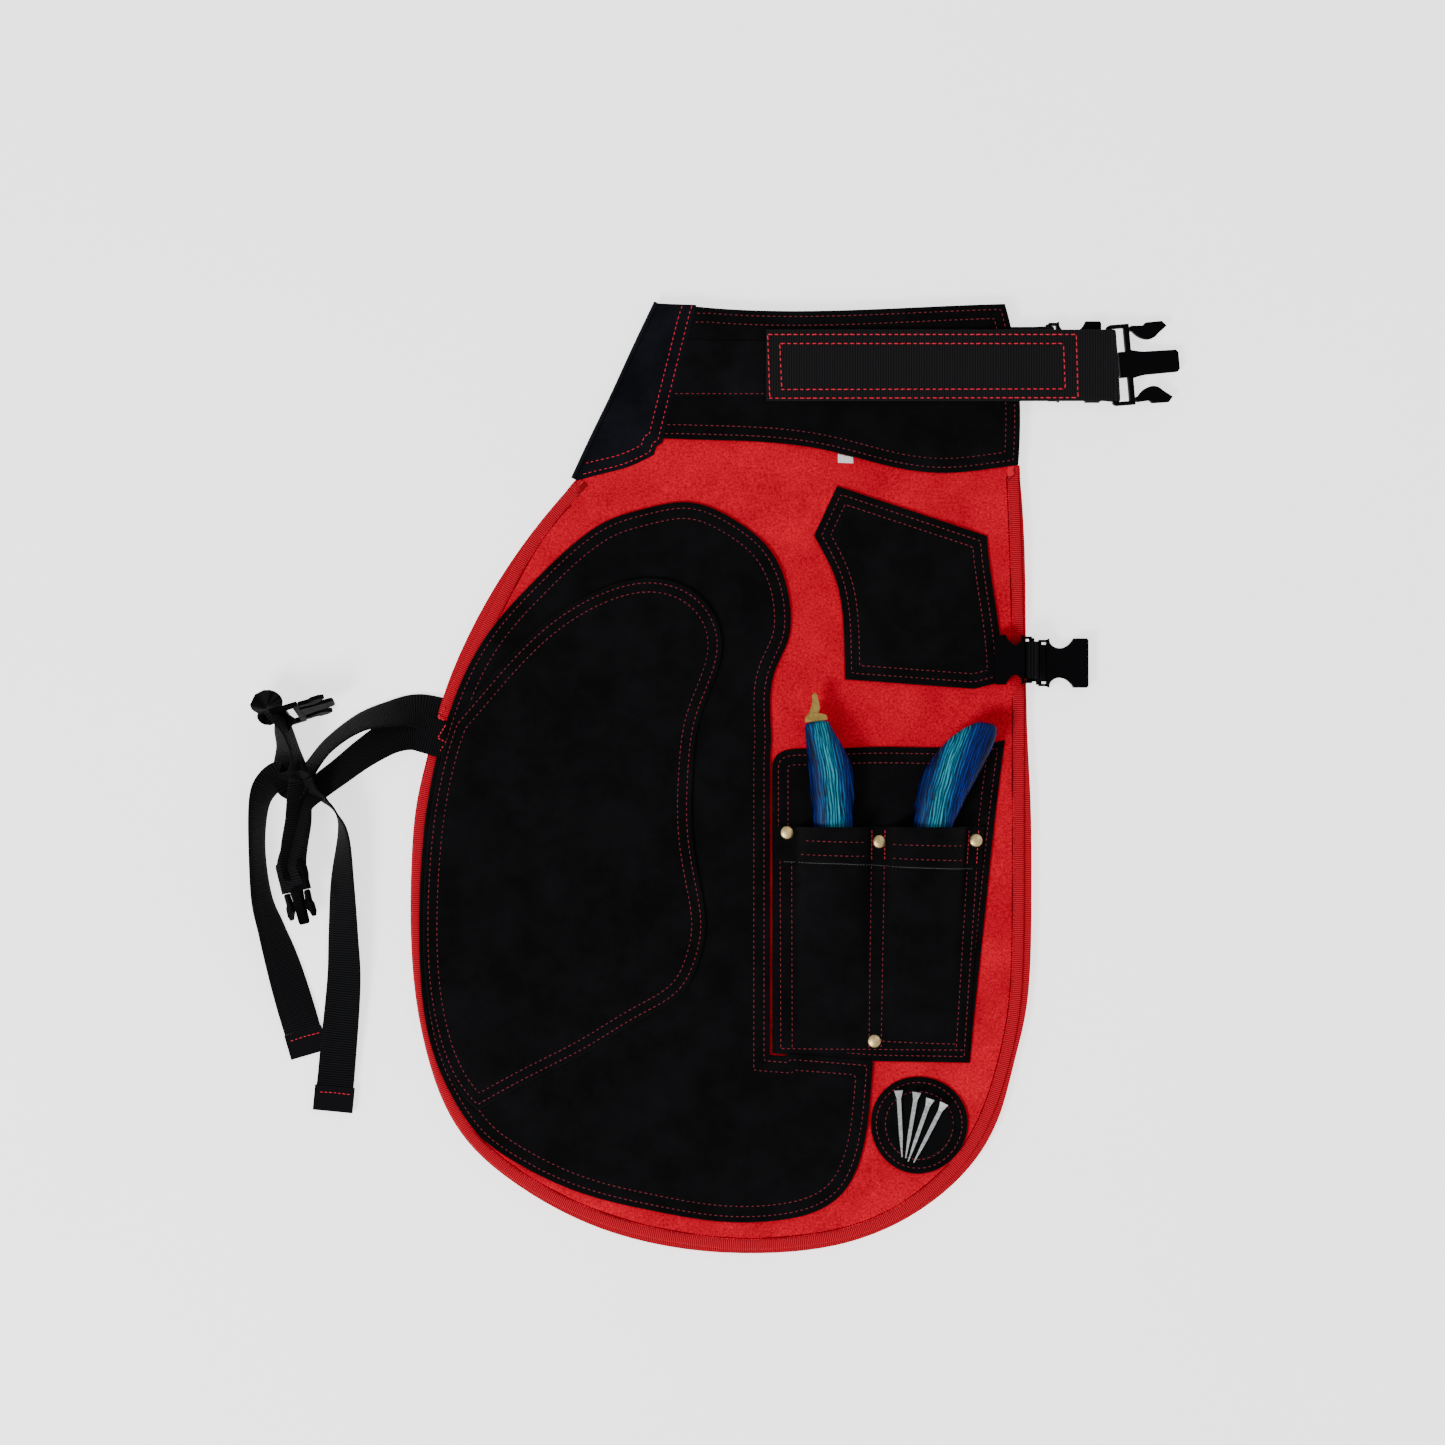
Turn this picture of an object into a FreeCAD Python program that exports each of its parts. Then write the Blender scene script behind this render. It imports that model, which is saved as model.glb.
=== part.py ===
import FreeCAD, Part
import math
import os

# A farrier's apron, folded in half along its centre front and laid flat. The upper leaf is the
# wearer's left leg, the lower leaf mirrors it and lies on its outer face. Millimetres, +Z up;
# the origin is under the middle of the folded apron, on the surface it lies on.

Vector = FreeCAD.Vector
Placement = FreeCAD.Placement
Rotation = FreeCAD.Rotation

DIMENSIONS = {
    "stack": 4.8,  # leather and tools between the floor and the lower canvas
    "canvas": 1.2,
    "leaf_gap": 0.3,
    "binding_width": 7.0,
    "thigh_leather": 2.4,
    "wear_leather": 2.4,
    "hip_leather": 2.0,
    "yoke_leather": 2.0,
    "gusset_leather": 1.8,
    "loop_strip": 0.8,
    "waist_webbing": 2.0,
    "pocket_back": 1.6,
    "pocket_front": 1.2,
    "pocket_band": 1.2,
    "band_depth": 22.0,
    "pocket_rise": 19.0,  # how far the pocket's front stands off its back at the mouth
    "pocket_foot": 3.2,  # and just above its bottom seam
    "pocket_hem": 5.0,
    "rivet_radius": 4.25,
    "rivet_cap": 0.8,
    "magnet_radius": 20.0,
    "magnet_height": 3.0,
    "cover_radius": 32.5,
    "cover_leather": 1.8,
    "tag_height": 0.5,
    "waist_buckle_width": 54.0,
    "waist_buckle_plate": 4.4,
    "waist_female_height": 7.6,
    "leg_buckle_width": 33.0,
    "leg_buckle_plate": 3.4,
    "leg_female_height": 8.0,
    "loop_bar": 2.0,  # radius of the bar that a webbing loop turns about
    "loop_webbing": 1.7,
    "bar_play": 0.3,
    "leg_webbing": 1.6,
    "second_layer": 3.4,  # height at which the left leg strap lies over the right one
    "tab_height": 2.8,
    "knife_tilt": 3.0,  # degrees that each knife's butt is raised
    "blade_height": 2.4,
    "pick_thickness": 3.2,
    "nail_length": 44.6,
}

UPPER = "Sizes.stack + 2 * Sizes.canvas + Sizes.leaf_gap"
LOWER = "Sizes.stack"

# Leaf edges, from the gusset's foot down the inner thigh, round the hem and up the side seam.
UPPER_EDGE = [
    (-146, 196.6), (-178, 159), (-207, 106), (-225, 72), (-234.5, 52), (-245, 12), (-251.5, -14),
    (-255.5, -54), (-256.3, -94), (-254.3, -134), (-244.3, -188), (-235, -214), (-219, -241),
    (-188, -268), (-137, -294.5), (-90, -308), (-57, -313), (-23.5, -314.5), (3, -312.5),
    (36, -306.5), (70, -292.5), (94.5, -275), (119, -248), (132, -223), (142.3, -191),
    (149, -158), (151.7, -121), (152.3, -68), (152.3, 12), (151.7, 106), (149.7, 172), (148.3, 205),
]
LOWER_EDGE = [
    (-149, 196.2), (-189, 146), (-220, 92), (-236, 52), (-246.5, 12), (-252.5, -14), (-256.3, -54),
    (-257, -94), (-255, -134), (-245, -188), (-236, -214), (-220, -241), (-189, -269),
    (-130, -300.5), (-90, -311.5), (-57, -316), (-23.5, -317), (3, -315.5), (36, -309.5),
    (70, -296), (96.5, -278.5), (123, -250.5), (137, -223), (145.7, -191), (153, -161),
    (157, -121), (157.7, -68), (157, -14), (155, 26), (153.7, 119), (151.7, 180), (149.7, 203),
]
# The canvas runs on under the yoke and stops short of the gusset seam.
CANVAS_TOP = [(140, 302), (137, 314.5), (69, 312), (-5, 310), (-68.4, 313.5)]
SEAM = [(-68.4, 313.5), (-91.2, 224.8), (-93.8, 215.4), (-112.8, 206.6), (-134, 200.2)]

FOLD_TOP = (-91.6, 317.0)
FOLD_FOOT = (-147.0, 199.5)
GUSSET = [
    [FOLD_TOP, FOLD_FOOT],
    [FOLD_FOOT, (-145.2, 198.6)],
    [(-145.2, 198.6), (-129, 203), (-113, 207.2), (-104, 211), (-94.5, 215.8)],
    [(-94.5, 215.8), (-91.8, 225)],
    [(-91.8, 225), (-69.2, 315.8)],
    [(-69.2, 315.8), FOLD_TOP],
]
YOKE = [
    [(-68.7, 315), (-5, 311.7), (70, 313.7), (139.7, 316.5)],
    [(139.7, 316.5), (143.7, 301), (149.7, 251), (148.6, 209)],
    [(148.6, 209), (124, 205.7), (100, 203.7), (65, 207.7), (26, 217.7), (-13, 223.7), (-58, 225.7),
     (-90.7, 227)],
    [(-90.7, 227), (-68.7, 315)],
]
LOOP_STRIP = [
    [(-85, 292.3), (-79.7, 255)],
    [(-79.7, 255), (137.7, 254)],
    [(137.7, 254), (133, 295)],
    [(133, 295), (20, 292), (-85, 292.3)],
]
THIGH_PATCH = [
    [(-17, 15), (-16.3, 30), (-17, 52), (-13.7, 72), (-5, 92), (-3.7, 116), (-8.3, 136), (-20, 156),
     (-40, 172), (-70, 184), (-100, 180), (-125, 172), (-145, 159), (-174, 132), (-198, 106),
     (-216, 79), (-228, 52), (-240, 12), (-247, -28), (-250.3, -68), (-251, -101), (-250, -134),
     (-247, -161), (-240, -188), (-228, -214), (-208, -241), (-190, -254), (-164, -268),
     (-128, -281), (-97, -288), (-50, -295.5), (-10, -294.5), (13, -289), (30, -278), (43, -254),
     (48.3, -228), (51, -198), (51.7, -189.8)],
    [(51.7, -189.8), (-17, -184.4)],
    [(-17, -184.4), (-17, 15)],
]
WEAR_PANEL = [
    [(-228, 38), (-197, 74), (-164, 106), (-130, 126), (-97, 133.5), (-70, 126), (-54, 109),
     (-49, 89), (-54, 66), (-64, 39), (-68.5, 6), (-69, -34), (-64, -68), (-60, -101), (-64, -121),
     (-74, -141), (-104, -161), (-137, -181), (-170, -198), (-200, -214), (-212, -221)],
    [(-212, -221), (-229, -200), (-240, -172), (-247, -130), (-248, -90), (-246, -50), (-240, -5),
     (-228, 38)],
]
HIP_PATCH = [
    [(27.7, 195), (12.3, 162)],
    [(12.3, 162), (21, 146), (27, 132), (31, 113), (33, 66)],
    [(33, 66), (119, 59.7)],
    [(119, 59.7), (137.7, 64.3)],
    [(137.7, 64.3), (134.3, 110), (129.7, 141), (127.7, 161.7)],
    [(127.7, 161.7), (27.7, 195)],
]
POCKET_BACK = [
    [(-15.6, 10), (-12, 16), (9, 19.7), (48, 21), (139.7, 25.7)],
    [(139.7, 25.7), (130.3, -51.7), (124, -113), (120.3, -147), (116.3, -189.7)],
    [(116.3, -189.7), (53, -188.6)],
    [(53, -188.6), (-15.6, -183.4)],
    [(-15.6, -183.4), (-15.6, 10)],
]
BAND_RIVETS = [(-5.7, -36), (55.7, -42), (120.1, -41.2)]
FOOT_RIVET = (52.5, -175)
MAGNET = (82.3, -231.0)
SIZE_TAG = [(28.3, 216.6), (28.3, 210.6), (38.6, 210.2), (38.4, 214.4)]
NAILS = [
    (68.3, -207.4, 70.9, -253.6), (80.4, -208.6, 73.2, -252.7),
    (89.5, -212.9, 75.3, -253.6), (98.7, -215.9, 78.8, -255.1),
]

WAIST_STRAP = (-19.7, 251.3, 299.0)  # left end, lower edge, upper edge
WAIST_BAR = (211.0, 275.2, 8.3)
WAIST_BUCKLE_TURN = 5.0
WAIST_BUCKLE_DROP = 6.3
WAIST_FEMALE_BAR = (169.0, 278.0, 4.0)
LEFT_FEMALE_BAR = (157.0, 79.0, 13.8)
RIGHT_FEMALE_BAR = (162.5, 77.0, 4.0)

# Where each knife stands in the pocket's mouth: place, degrees from +Y, and the handle's
# sections from blade to butt as (along, half width, half thickness, shift to the right).
KNIFE_ONE = (25.1, -31.8, 7.5)
HANDLE_ONE = [
    (-45, 8, 4.6, 0), (-20, 11.3, 6.1, 0), (3, 13, 7.6, 0), (20, 14.4, 8.2, 2), (38, 14.4, 8.2, 2.8),
    (51, 12.2, 7.4, 1.0), (66, 8.8, 5.8, -1.8), (71, 7.7, 5.2, -2.3),
]
KNIFE_TWO = (90.3, -35.5, -6.0)
HANDLE_TWO = [
    (-45, 8, 4.6, 0), (-20, 11, 6.1, 0), (3, 12.8, 7.6, 0.3), (21.5, 16, 8.2, 2.9),
    (37, 17.6, 8.2, 7.5), (50, 17.3, 8.0, 12.9), (62.5, 15, 7.2, 19.6), (71.5, 10.8, 5.4, 25.2),
    (76, 5.8, 3.4, 28.2),
]
PICK = [
    [(71.2, -5.2), (74, -4.9)],
    [(74, -4.9), (75.5, -2), (76.2, 0.6)],
    [(76.2, 0.6), (79.5, -1.3)],
    [(79.5, -1.3), (88.6, -0.4)],
    [(88.6, -0.4), (89.6, 1.4), (88.4, 2.9)],
    [(88.4, 2.9), (79, 5.4), (74, 9.5)],
    [(74, 9.5), (71.2, 9.9)],
    [(71.2, 9.9), (71.2, -5.2)],
]

# The leg straps lie loose: middle line and half width of each stretch as it is seen from above.
LEFT_STRAP_RUN = [
    (-248, 27, 12), (-265, 31, 12), (-287, 17.5, 10), (-313, -3.5, 9), (-325, -12, 9),
]
LEFT_STRAP_DROP = [(-331, 8, 8), (-332, -16, 8), (-332, -36, 7.5), (-332, -56, 7.5)]
LEFT_STRAP_TAIL = [
    (-334, -13, 7), (-317, -14, 5), (-304, -22, 4), (-300, -38, 5), (-302, -70, 8.5),
    (-301.5, -137, 11.5), (-306, -190, 12), (-307.5, -205.5, 12),
]
RIGHT_STRAP_RUN = [
    (-240, 34, 12), (-263, 42, 9), (-290, 39.5, 6.5), (-312, 24, 5.5), (-326, 4, 6), (-332, -6, 8),
]
RIGHT_STRAP_RISE = [(-331, -14, 8), (-334, 8, 9), (-339, 22, 8.5), (-345, 34, 7), (-349, 48, 7)]
RIGHT_STRAP_TAIL = [
    (-334, 4, 8), (-348, 3, 8), (-357, -12, 6.5), (-358.5, -48, 4.5), (-355, -80, 5.5),
    (-343, -122, 9), (-329.5, -168.5, 11.5),
]
LEFT_MALE_BUCKLE = (-336.5, -57.0, 14.5)
RIGHT_MALE_BUCKLE = (-346.0, 39.5, 18.1)

doc = FreeCAD.newDocument("FarrierApron")
sheet = doc.addObject("Spreadsheet::Sheet", "Sizes")
for row, (name, value) in enumerate(DIMENSIONS.items(), start=1):
    sheet.set(f"A{row}", name)
    sheet.set(f"B{row}", str(value))
    sheet.setAlias(f"B{row}", name)
doc.recompute()

pieces = []


def size(name):
    return float(sheet.get(name))


def new_body(label):
    """A body for one piece of the apron."""
    body = doc.addObject("PartDesign::Body", label)
    body.Label = label
    pieces.append(body)
    return body


def new_sketch(body, name, role="XY_Plane", offset=0.0):
    """A sketch on one of the body's own origin planes, moved along the plane's normal."""
    plane = next(f for f in body.Origin.OriginFeatures if f.Role == role)
    sketch = body.newObject("Sketcher::SketchObject", f"{body.Name}_{name}")
    sketch.AttachmentSupport = [(plane, "")]
    sketch.MapMode = "FlatFace"
    sketch.AttachmentOffset = Placement(Vector(0, 0, offset), Rotation())
    return sketch


def draw(sketch, outline):
    """Draws a closed outline: a run of two points is a line, a longer one a smooth curve."""
    for run in outline:
        points = [Vector(x, y, 0) for x, y in run]
        if len(points) == 2:
            edge = Part.LineSegment(*points)
        else:
            edge = Part.BSplineCurve()
            edge.interpolate(points)
        sketch.addGeometry(edge, False)


def box_outline(low_x, low_y, high_x, high_y):
    corners = [(low_x, low_y), (high_x, low_y), (high_x, high_y), (low_x, high_y)]
    return [[corners[k], corners[(k + 1) % 4]] for k in range(4)]


def polygon(*corners):
    return [[corners[k], corners[(k + 1) % len(corners)]] for k in range(len(corners))]


def pad(body, name, outline, length, offset=0.0, role="XY_Plane"):
    """Pads a closed outline by a length, which is an expression on the size sheet."""
    sketch = new_sketch(body, f"{name}_sketch", role, offset)
    draw(sketch, outline)
    feature = body.newObject("PartDesign::Pad", f"{body.Name}_{name}")
    feature.Profile = sketch
    feature.setExpression("Length", length)
    return feature


def pocket(body, name, outline, length, offset, role="XY_Plane"):
    """Cuts a closed outline down from an offset plane, and makes sure that something was cut."""
    doc.recompute()
    before = body.Shape.Volume
    sketch = new_sketch(body, f"{name}_sketch", role, offset)
    draw(sketch, outline)
    feature = body.newObject("PartDesign::Pocket", f"{body.Name}_{name}")
    feature.Profile = sketch
    feature.setExpression("Length", length)
    doc.recompute()
    if not body.Shape.Volume < before - 1.0:
        raise RuntimeError(f"{feature.Name} cuts nothing")
    return feature


def plate(label, outline, thickness, level):
    """A flat piece of cloth, leather or plastic at a level above the floor."""
    body = new_body(label)
    pad(body, "plate", outline, thickness)
    body.setExpression("Placement.Base.z", level)
    return body


def inset(points, distance):
    """Moves each point of an open line to its left by a distance."""
    moved = []
    for k, (x, y) in enumerate(points):
        before = points[max(k - 1, 0)]
        after = points[min(k + 1, len(points) - 1)]
        run = Vector(after[0] - before[0], after[1] - before[1], 0).normalize()
        moved.append((x - run.y * distance, y + run.x * distance))
    return moved


def canvas_and_binding(side, edge, level):
    """One leg panel of canvas, and the ribbed tape that binds its edge."""
    inner = inset(edge, size("binding_width"))
    rise = [inner[-1], (143.5, 251), CANVAS_TOP[0]]
    sides = [SEAM[k:k + 2] for k in range(len(SEAM) - 1)]
    panel = [inner, rise, [CANVAS_TOP[0], CANVAS_TOP[1]], CANVAS_TOP[1:], *sides, [SEAM[-1], inner[0]]]
    plate(f"canvas_{side}", panel, "Sizes.canvas", level)
    band = [edge, [edge[-1], inner[-1]], inner[::-1], [inner[0], edge[0]]]
    plate(f"binding_{side}", band, "Sizes.canvas", level)


def leathers():
    """The patches sewn to both leaves: on top of the upper canvas and under the lower one."""
    for name, outline, leather in (
        ("thigh_patch", THIGH_PATCH, "Sizes.thigh_leather"),
        ("hip_patch", HIP_PATCH, "Sizes.hip_leather"),
        ("yoke", YOKE, "Sizes.yoke_leather"),
        ("pocket_back", POCKET_BACK, "Sizes.pocket_back"),
    ):
        plate(f"{name}_left", outline, leather, UPPER)
        plate(f"{name}_right", outline, leather, f"{LOWER} - {leather}")
    wear = "Sizes.wear_leather"
    plate("wear_panel_left", WEAR_PANEL, wear, f"{UPPER} + Sizes.thigh_leather")
    plate("wear_panel_right", WEAR_PANEL, wear, f"{LOWER} - Sizes.thigh_leather - {wear}")
    strip = "Sizes.loop_strip"
    plate("loop_strip_left", LOOP_STRIP, strip, f"{UPPER} + Sizes.yoke_leather")
    plate("loop_strip_right", LOOP_STRIP, strip, f"{LOWER} - Sizes.yoke_leather - {strip}")


def gusset():
    """The centre front: one leather folded round the left edge, joining the two leaves."""
    body = new_body("centre_gusset")
    leather = size("gusset_leather")
    middle = size("stack") + size("canvas") + size("leaf_gap") / 2
    reach = leather + size("leaf_gap") / 2
    pad(body, "upper", GUSSET, "Sizes.gusset_leather", middle + size("leaf_gap") / 2)
    doc.recompute()
    along = Vector(FOLD_TOP[0] - FOLD_FOOT[0], FOLD_TOP[1] - FOLD_FOOT[1], 0)
    fold = body.newObject("PartDesign::AdditiveCylinder", "centre_gusset_fold")
    fold.setExpression("Radius", "Sizes.gusset_leather + Sizes.leaf_gap / 2")
    fold.Height = along.Length - 1.0
    fold.AttachmentSupport = None
    fold.MapMode = "Deactivated"
    fold.Placement = Placement(Vector(*FOLD_FOOT, middle), Rotation(Vector(0, 0, 1), along))
    doc.recompute()
    pad(body, "lower", GUSSET, "Sizes.gusset_leather", middle - reach)


def pocket_section(share, skin, lift):
    """The pocket front's section as an outline of x and height above the pocket's back.

    share runs from 0 at the mouth to 1 at the foot, skin is the leather's thickness and lift
    is how far its inner face stands off that of the pocket front.
    """
    rise = size("pocket_rise") * (1 - share) + size("pocket_foot") * share
    left, right = -13.5, 125.5 - 10.5 * share
    humps = [(0.0, 50 - 2 * share), (61.5 - 3.5 * share, 115 - 9 * share)]

    def hump(start, end, off):
        """A hump's profile, off is how far it lies outside the pocket front's inner face."""
        top = rise - size("pocket_front") + off
        points = [(0.0, 0.0), (0.05, 0.42), (0.14, 0.78), (0.3, 0.96), (0.5, 1.0)]
        points += [(1 - a, b) for a, b in points[-2::-1]]
        low = start + skin - off
        wide = end - skin + off - low
        return [(low + a * wide, off + (top - off) * b) for a, b in points]

    def line_above(off):
        """The whole inner or outer face, left to right, as runs."""
        first, second = (hump(a, b, off) for a, b in humps)
        return [
            [(left, off), first[0]], first, [first[-1], second[0]], second, [second[-1], (right, off)],
        ]

    outer = line_above(lift + skin)
    inner = [run[::-1] for run in line_above(lift)[::-1]]
    return [*outer, [outer[-1][-1], inner[0][0]], *inner, [inner[-1][-1], outer[0][0]]]


def loft(body, name, sections, role):
    """A loft through closed outlines on planes at the given offsets."""
    sketches = []
    for number, (offset, outline) in enumerate(sections):
        sketch = new_sketch(body, f"{name}_section_{number}", role, offset)
        draw(sketch, outline)
        sketches.append(sketch)
    feature = body.newObject("PartDesign::AdditiveLoft", f"{body.Name}_{name}")
    feature.Profile = sketches[0]
    feature.Sections = sketches[1:]
    return feature


def left_pocket():
    """The upper leaf's pocket: a front that stands off its back over the two knives."""
    mouth, foot = -32.0, -178.0
    front = new_body("pocket_front_left")
    skin = size("pocket_front")
    sections = [(-mouth, pocket_section(0, skin, 0)), (-foot, pocket_section(1, skin, 0))]
    loft(front, "front", sections, "XZ_Plane").Ruled = True
    doc.recompute()
    tall = size("pocket_foot")
    hem = polygon(
        (-13.5, 0), (115, 0), (115, tall), (57.8, tall), (57.8, skin), (47.2, skin), (47.2, tall),
        (-13.5, tall),
    )
    pad(front, "foot_seam", hem, "Sizes.pocket_hem", -foot, "XZ_Plane")
    front.setExpression("Placement.Base.z", f"{UPPER} + Sizes.pocket_back")
    band = new_body("pocket_band_left")
    share = size("band_depth") / (mouth - foot)
    thick, lift = size("pocket_band"), skin + 0.05
    sections = [
        (-mouth, pocket_section(0, thick, lift)),
        (-mouth + size("band_depth"), pocket_section(share, thick, lift)),
    ]
    loft(band, "band", sections, "XZ_Plane").Ruled = True
    band.setExpression("Placement.Base.z", f"{UPPER} + Sizes.pocket_back")


def right_pocket():
    """The lower leaf's pocket, empty and pressed flat."""
    under = f"{LOWER} - Sizes.pocket_back"
    front = polygon((-13.5, -32), (125.5, -32), (115, -187), (-13.5, -183))
    plate("pocket_front_right", front, "Sizes.pocket_front", f"{under} - Sizes.pocket_front")
    band = polygon((-13.5, -32), (125.5, -32), (124, -54), (-13.5, -54))
    level = f"{under} - Sizes.pocket_front - Sizes.pocket_band"
    plate("pocket_band_right", band, "Sizes.pocket_band", level)


def disc_sketch(body, name, centres, radius, offset):
    sketch = new_sketch(body, name, "XY_Plane", offset)
    for x, y in centres:
        sketch.addGeometry(Part.Circle(Vector(x, y, 0), Vector(0, 0, 1), radius), False)
    return sketch


def discs(body, name, centres, radius, height, offset=0.0):
    """Round pieces of one height, padded from one sketch."""
    feature = body.newObject("PartDesign::Pad", f"{body.Name}_{name}")
    feature.Profile = disc_sketch(body, f"{name}_sketch", centres, radius, offset)
    feature.setExpression("Length", height)
    return feature


def rivets(side, level, band_step):
    """Four brass rivet caps: three on the band and one low on the divider seam."""
    body = new_body(f"pocket_rivets_{side}")
    body.AllowCompound = True
    radius = size("rivet_radius")
    discs(body, "band_caps", BAND_RIVETS, radius, "Sizes.rivet_cap", max(band_step, 0))
    doc.recompute()
    discs(body, "foot_cap", [FOOT_RIVET], radius, "Sizes.rivet_cap", max(-band_step, 0))
    body.setExpression("Placement.Base.z", level)


def all_rivets():
    step = size("pocket_band") + 0.05
    rivets("left", f"{UPPER} + Sizes.pocket_back + Sizes.pocket_front", step)
    leather = "Sizes.pocket_back - Sizes.pocket_front - Sizes.pocket_band"
    rivets("right", f"{LOWER} - {leather} - Sizes.rivet_cap", -size("pocket_band"))


def magnet_holder(side, level, up):
    """A magnet sewn under a round leather cover. up is 1 on the upper leaf, -1 on the lower."""
    magnet = new_body(f"nail_magnet_{side}")
    discs(magnet, "disc", [(0, 0)], size("magnet_radius"), "Sizes.magnet_height")
    cover = new_body(f"magnet_cover_{side}")
    flange, tall = size("cover_leather"), size("magnet_height")
    bore, shoulder = size("magnet_radius") + 0.3, size("magnet_radius") + 2.5
    rim, crown = size("cover_radius"), size("cover_leather") + size("magnet_height")
    profile = polygon(
        (0, tall), (bore, tall), (bore, 0), (rim, 0), (rim, flange),
        (shoulder + 1.5, flange), (shoulder, crown), (0, crown),
    )
    sketch = new_sketch(cover, "profile", "XZ_Plane")
    draw(sketch, profile)
    turn = cover.newObject("PartDesign::Revolution", f"{cover.Name}_turn")
    turn.Profile = sketch
    turn.ReferenceAxis = (sketch, ["V_Axis"])
    turn.Angle = 360
    flip = Rotation(Vector(1, 0, 0), 0 if up > 0 else 180)
    for body in (magnet, cover):
        body.Placement = Placement(Vector(*MAGNET, level), flip)


def nails():
    """Four horseshoe nails, each a tapered square shank under a wedge head."""
    lift = size("magnet_height") + size("cover_leather") + 0.15
    top = size("stack") + 2 * size("canvas") + size("leaf_gap") + lift
    for number, (head_x, head_y, tip_x, tip_y) in enumerate(NAILS, start=1):
        body = new_body(f"horseshoe_nail_{number}")
        sections = [(0, 2.9, 1.9), (5.5, 1.4, 1.1), (30, 1.15, 0.8), (size("nail_length"), 0.3, 0.3)]
        outlines = [(at, box_outline(-wide, 0, wide, 2 * half)) for at, wide, half in sections]
        loft(body, "shank", outlines, "XZ_Plane").Ruled = True
        angle = math.degrees(math.atan2(tip_x - head_x, head_y - tip_y))
        body.Placement = Placement(Vector(head_x, head_y, top), Rotation(Vector(0, 0, 1), angle))


def ellipse_section(sketch, shift, wide, thick):
    sketch.addGeometry(Part.Ellipse(Vector(shift, 0, 0), wide, thick), False)


def knife(name, stand, sections):
    """A hoof knife: +X of its own frame runs from blade to butt along the way it pulls out."""
    handle = new_body(f"{name}_handle")
    sketches = []
    for number, (along, wide, thick, shift) in enumerate(sections):
        sketch = new_sketch(handle, f"section_{number}", "YZ_Plane", along)
        ellipse_section(sketch, -shift, wide, thick)
        sketches.append(sketch)
    body_loft = handle.newObject("PartDesign::AdditiveLoft", f"{handle.Name}_loft")
    body_loft.Profile = sketches[0]
    body_loft.Sections = sketches[1:]
    blade = new_body(f"{name}_blade")
    start = sections[0][0] - 0.02
    edge = [
        [(start, -6.4), (start, 6.4)],
        [(start, 6.4), (-80, 7.2), (-100, 6.6)],
        [(-100, 6.6), (-104, 4.5), (-105.5, 1)],
        [(-105.5, 1), (-104, -0.6), (-100, -1.4)],
        [(-100, -1.4), (-75, -3.6), (start, -6.4)],
    ]
    pad(blade, "plate", edge, "Sizes.blade_height", -size("blade_height") / 2)
    x, y, turn = stand
    floor = size("stack") + 2 * size("canvas") + size("leaf_gap") + size("pocket_back")
    aim = Rotation(Vector(0, 0, 1), 90 + turn).multiply(
        Rotation(Vector(0, 1, 0), -size("knife_tilt"))
    )
    stood = Placement(Vector(x, y, floor + 8.4), aim)
    for body in (handle, blade):
        body.Placement = stood
    return stood


def knives():
    """Both knives, and the brass hoof pick on the butt of the first."""
    stood = knife("hoof_knife_one", KNIFE_ONE, HANDLE_ONE)
    pick = new_body("hoof_knife_one_pick")
    pad(pick, "pick", PICK, "Sizes.pick_thickness", -size("pick_thickness") / 2)
    pick.Placement = stood
    knife("hoof_knife_two", KNIFE_TWO, HANDLE_TWO)


def side_frame(width, last, bar):
    """A buckle frame's outline: rounded at the webbing end, straight where the arms start."""
    half, start = width / 2, -bar
    return [
        [(start + 3, -half), (last, -half)],
        [(last, -half), (last, half)],
        [(last, half), (start + 3, half)],
        [(start + 3, half), (start + 0.9, half - 0.9), (start, half - 3)],
        [(start, half - 3), (start, 3 - half)],
        [(start, 3 - half), (start + 0.9, 0.9 - half), (start + 3, -half)],
    ]


def male_buckle(label, width, plate_name, bars, cross, tip, guide_half, placement, round_bar=False):
    """The male half of a side-release buckle, with bars for webbing, a guide and two arms."""
    thick = size(plate_name)
    bar = size("loop_bar")
    frame = new_body(f"{label}_frame")
    outline = side_frame(width, cross + 3.6, bar)
    pad(frame, "frame", outline, f"Sizes.{plate_name}", -thick / 2)
    clear = width / 2 - 2.6
    stops = [*bars[1:], cross]
    for number, (at, stop) in enumerate(zip(bars, stops, strict=True)):
        end = stop if stop == cross else stop - bar
        slot = box_outline(at + bar, -clear, end, clear)
        if round_bar:
            slot = forked_slot(-2 * bar, end, clear, 1.1 * guide_half)
        pocket(frame, f"slot_{number}", slot, f"2 * Sizes.{plate_name}", thick)
    if round_bar:
        turned_bar(frame, width)
    root = cross + 3.6
    wide = guide_half
    guide = [
        [(root - 1, -wide * 1.25), (root + 3, -wide * 1.12), (root + 8, -wide)],
        [(root + 8, -wide), (tip - 1.6, -wide * 0.95)],
        [(tip - 1.6, -wide * 0.95), (tip, 1.8 - wide * 0.95)],
        [(tip, 1.8 - wide * 0.95), (tip, wide * 0.95 - 1.8)],
        [(tip, wide * 0.95 - 1.8), (tip - 1.6, wide * 0.95)],
        [(tip - 1.6, wide * 0.95), (root + 8, wide)],
        [(root + 8, wide), (root + 3, wide * 1.12), (root - 1, wide * 1.25)],
        [(root - 1, wide * 1.25), (root - 1, -wide * 1.25)],
    ]
    pad(frame, "guide", guide, f"0.8 * Sizes.{plate_name}", -0.4 * thick)
    frame.Placement = placement
    for side, way in (("left", 1), ("right", -1)):
        arm = new_body(f"{label}_arm_{side}")
        pad(arm, "arm", arm_outline(width, root, tip, way), f"0.9 * Sizes.{plate_name}", -0.45 * thick)
        arm.Placement = placement


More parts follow.
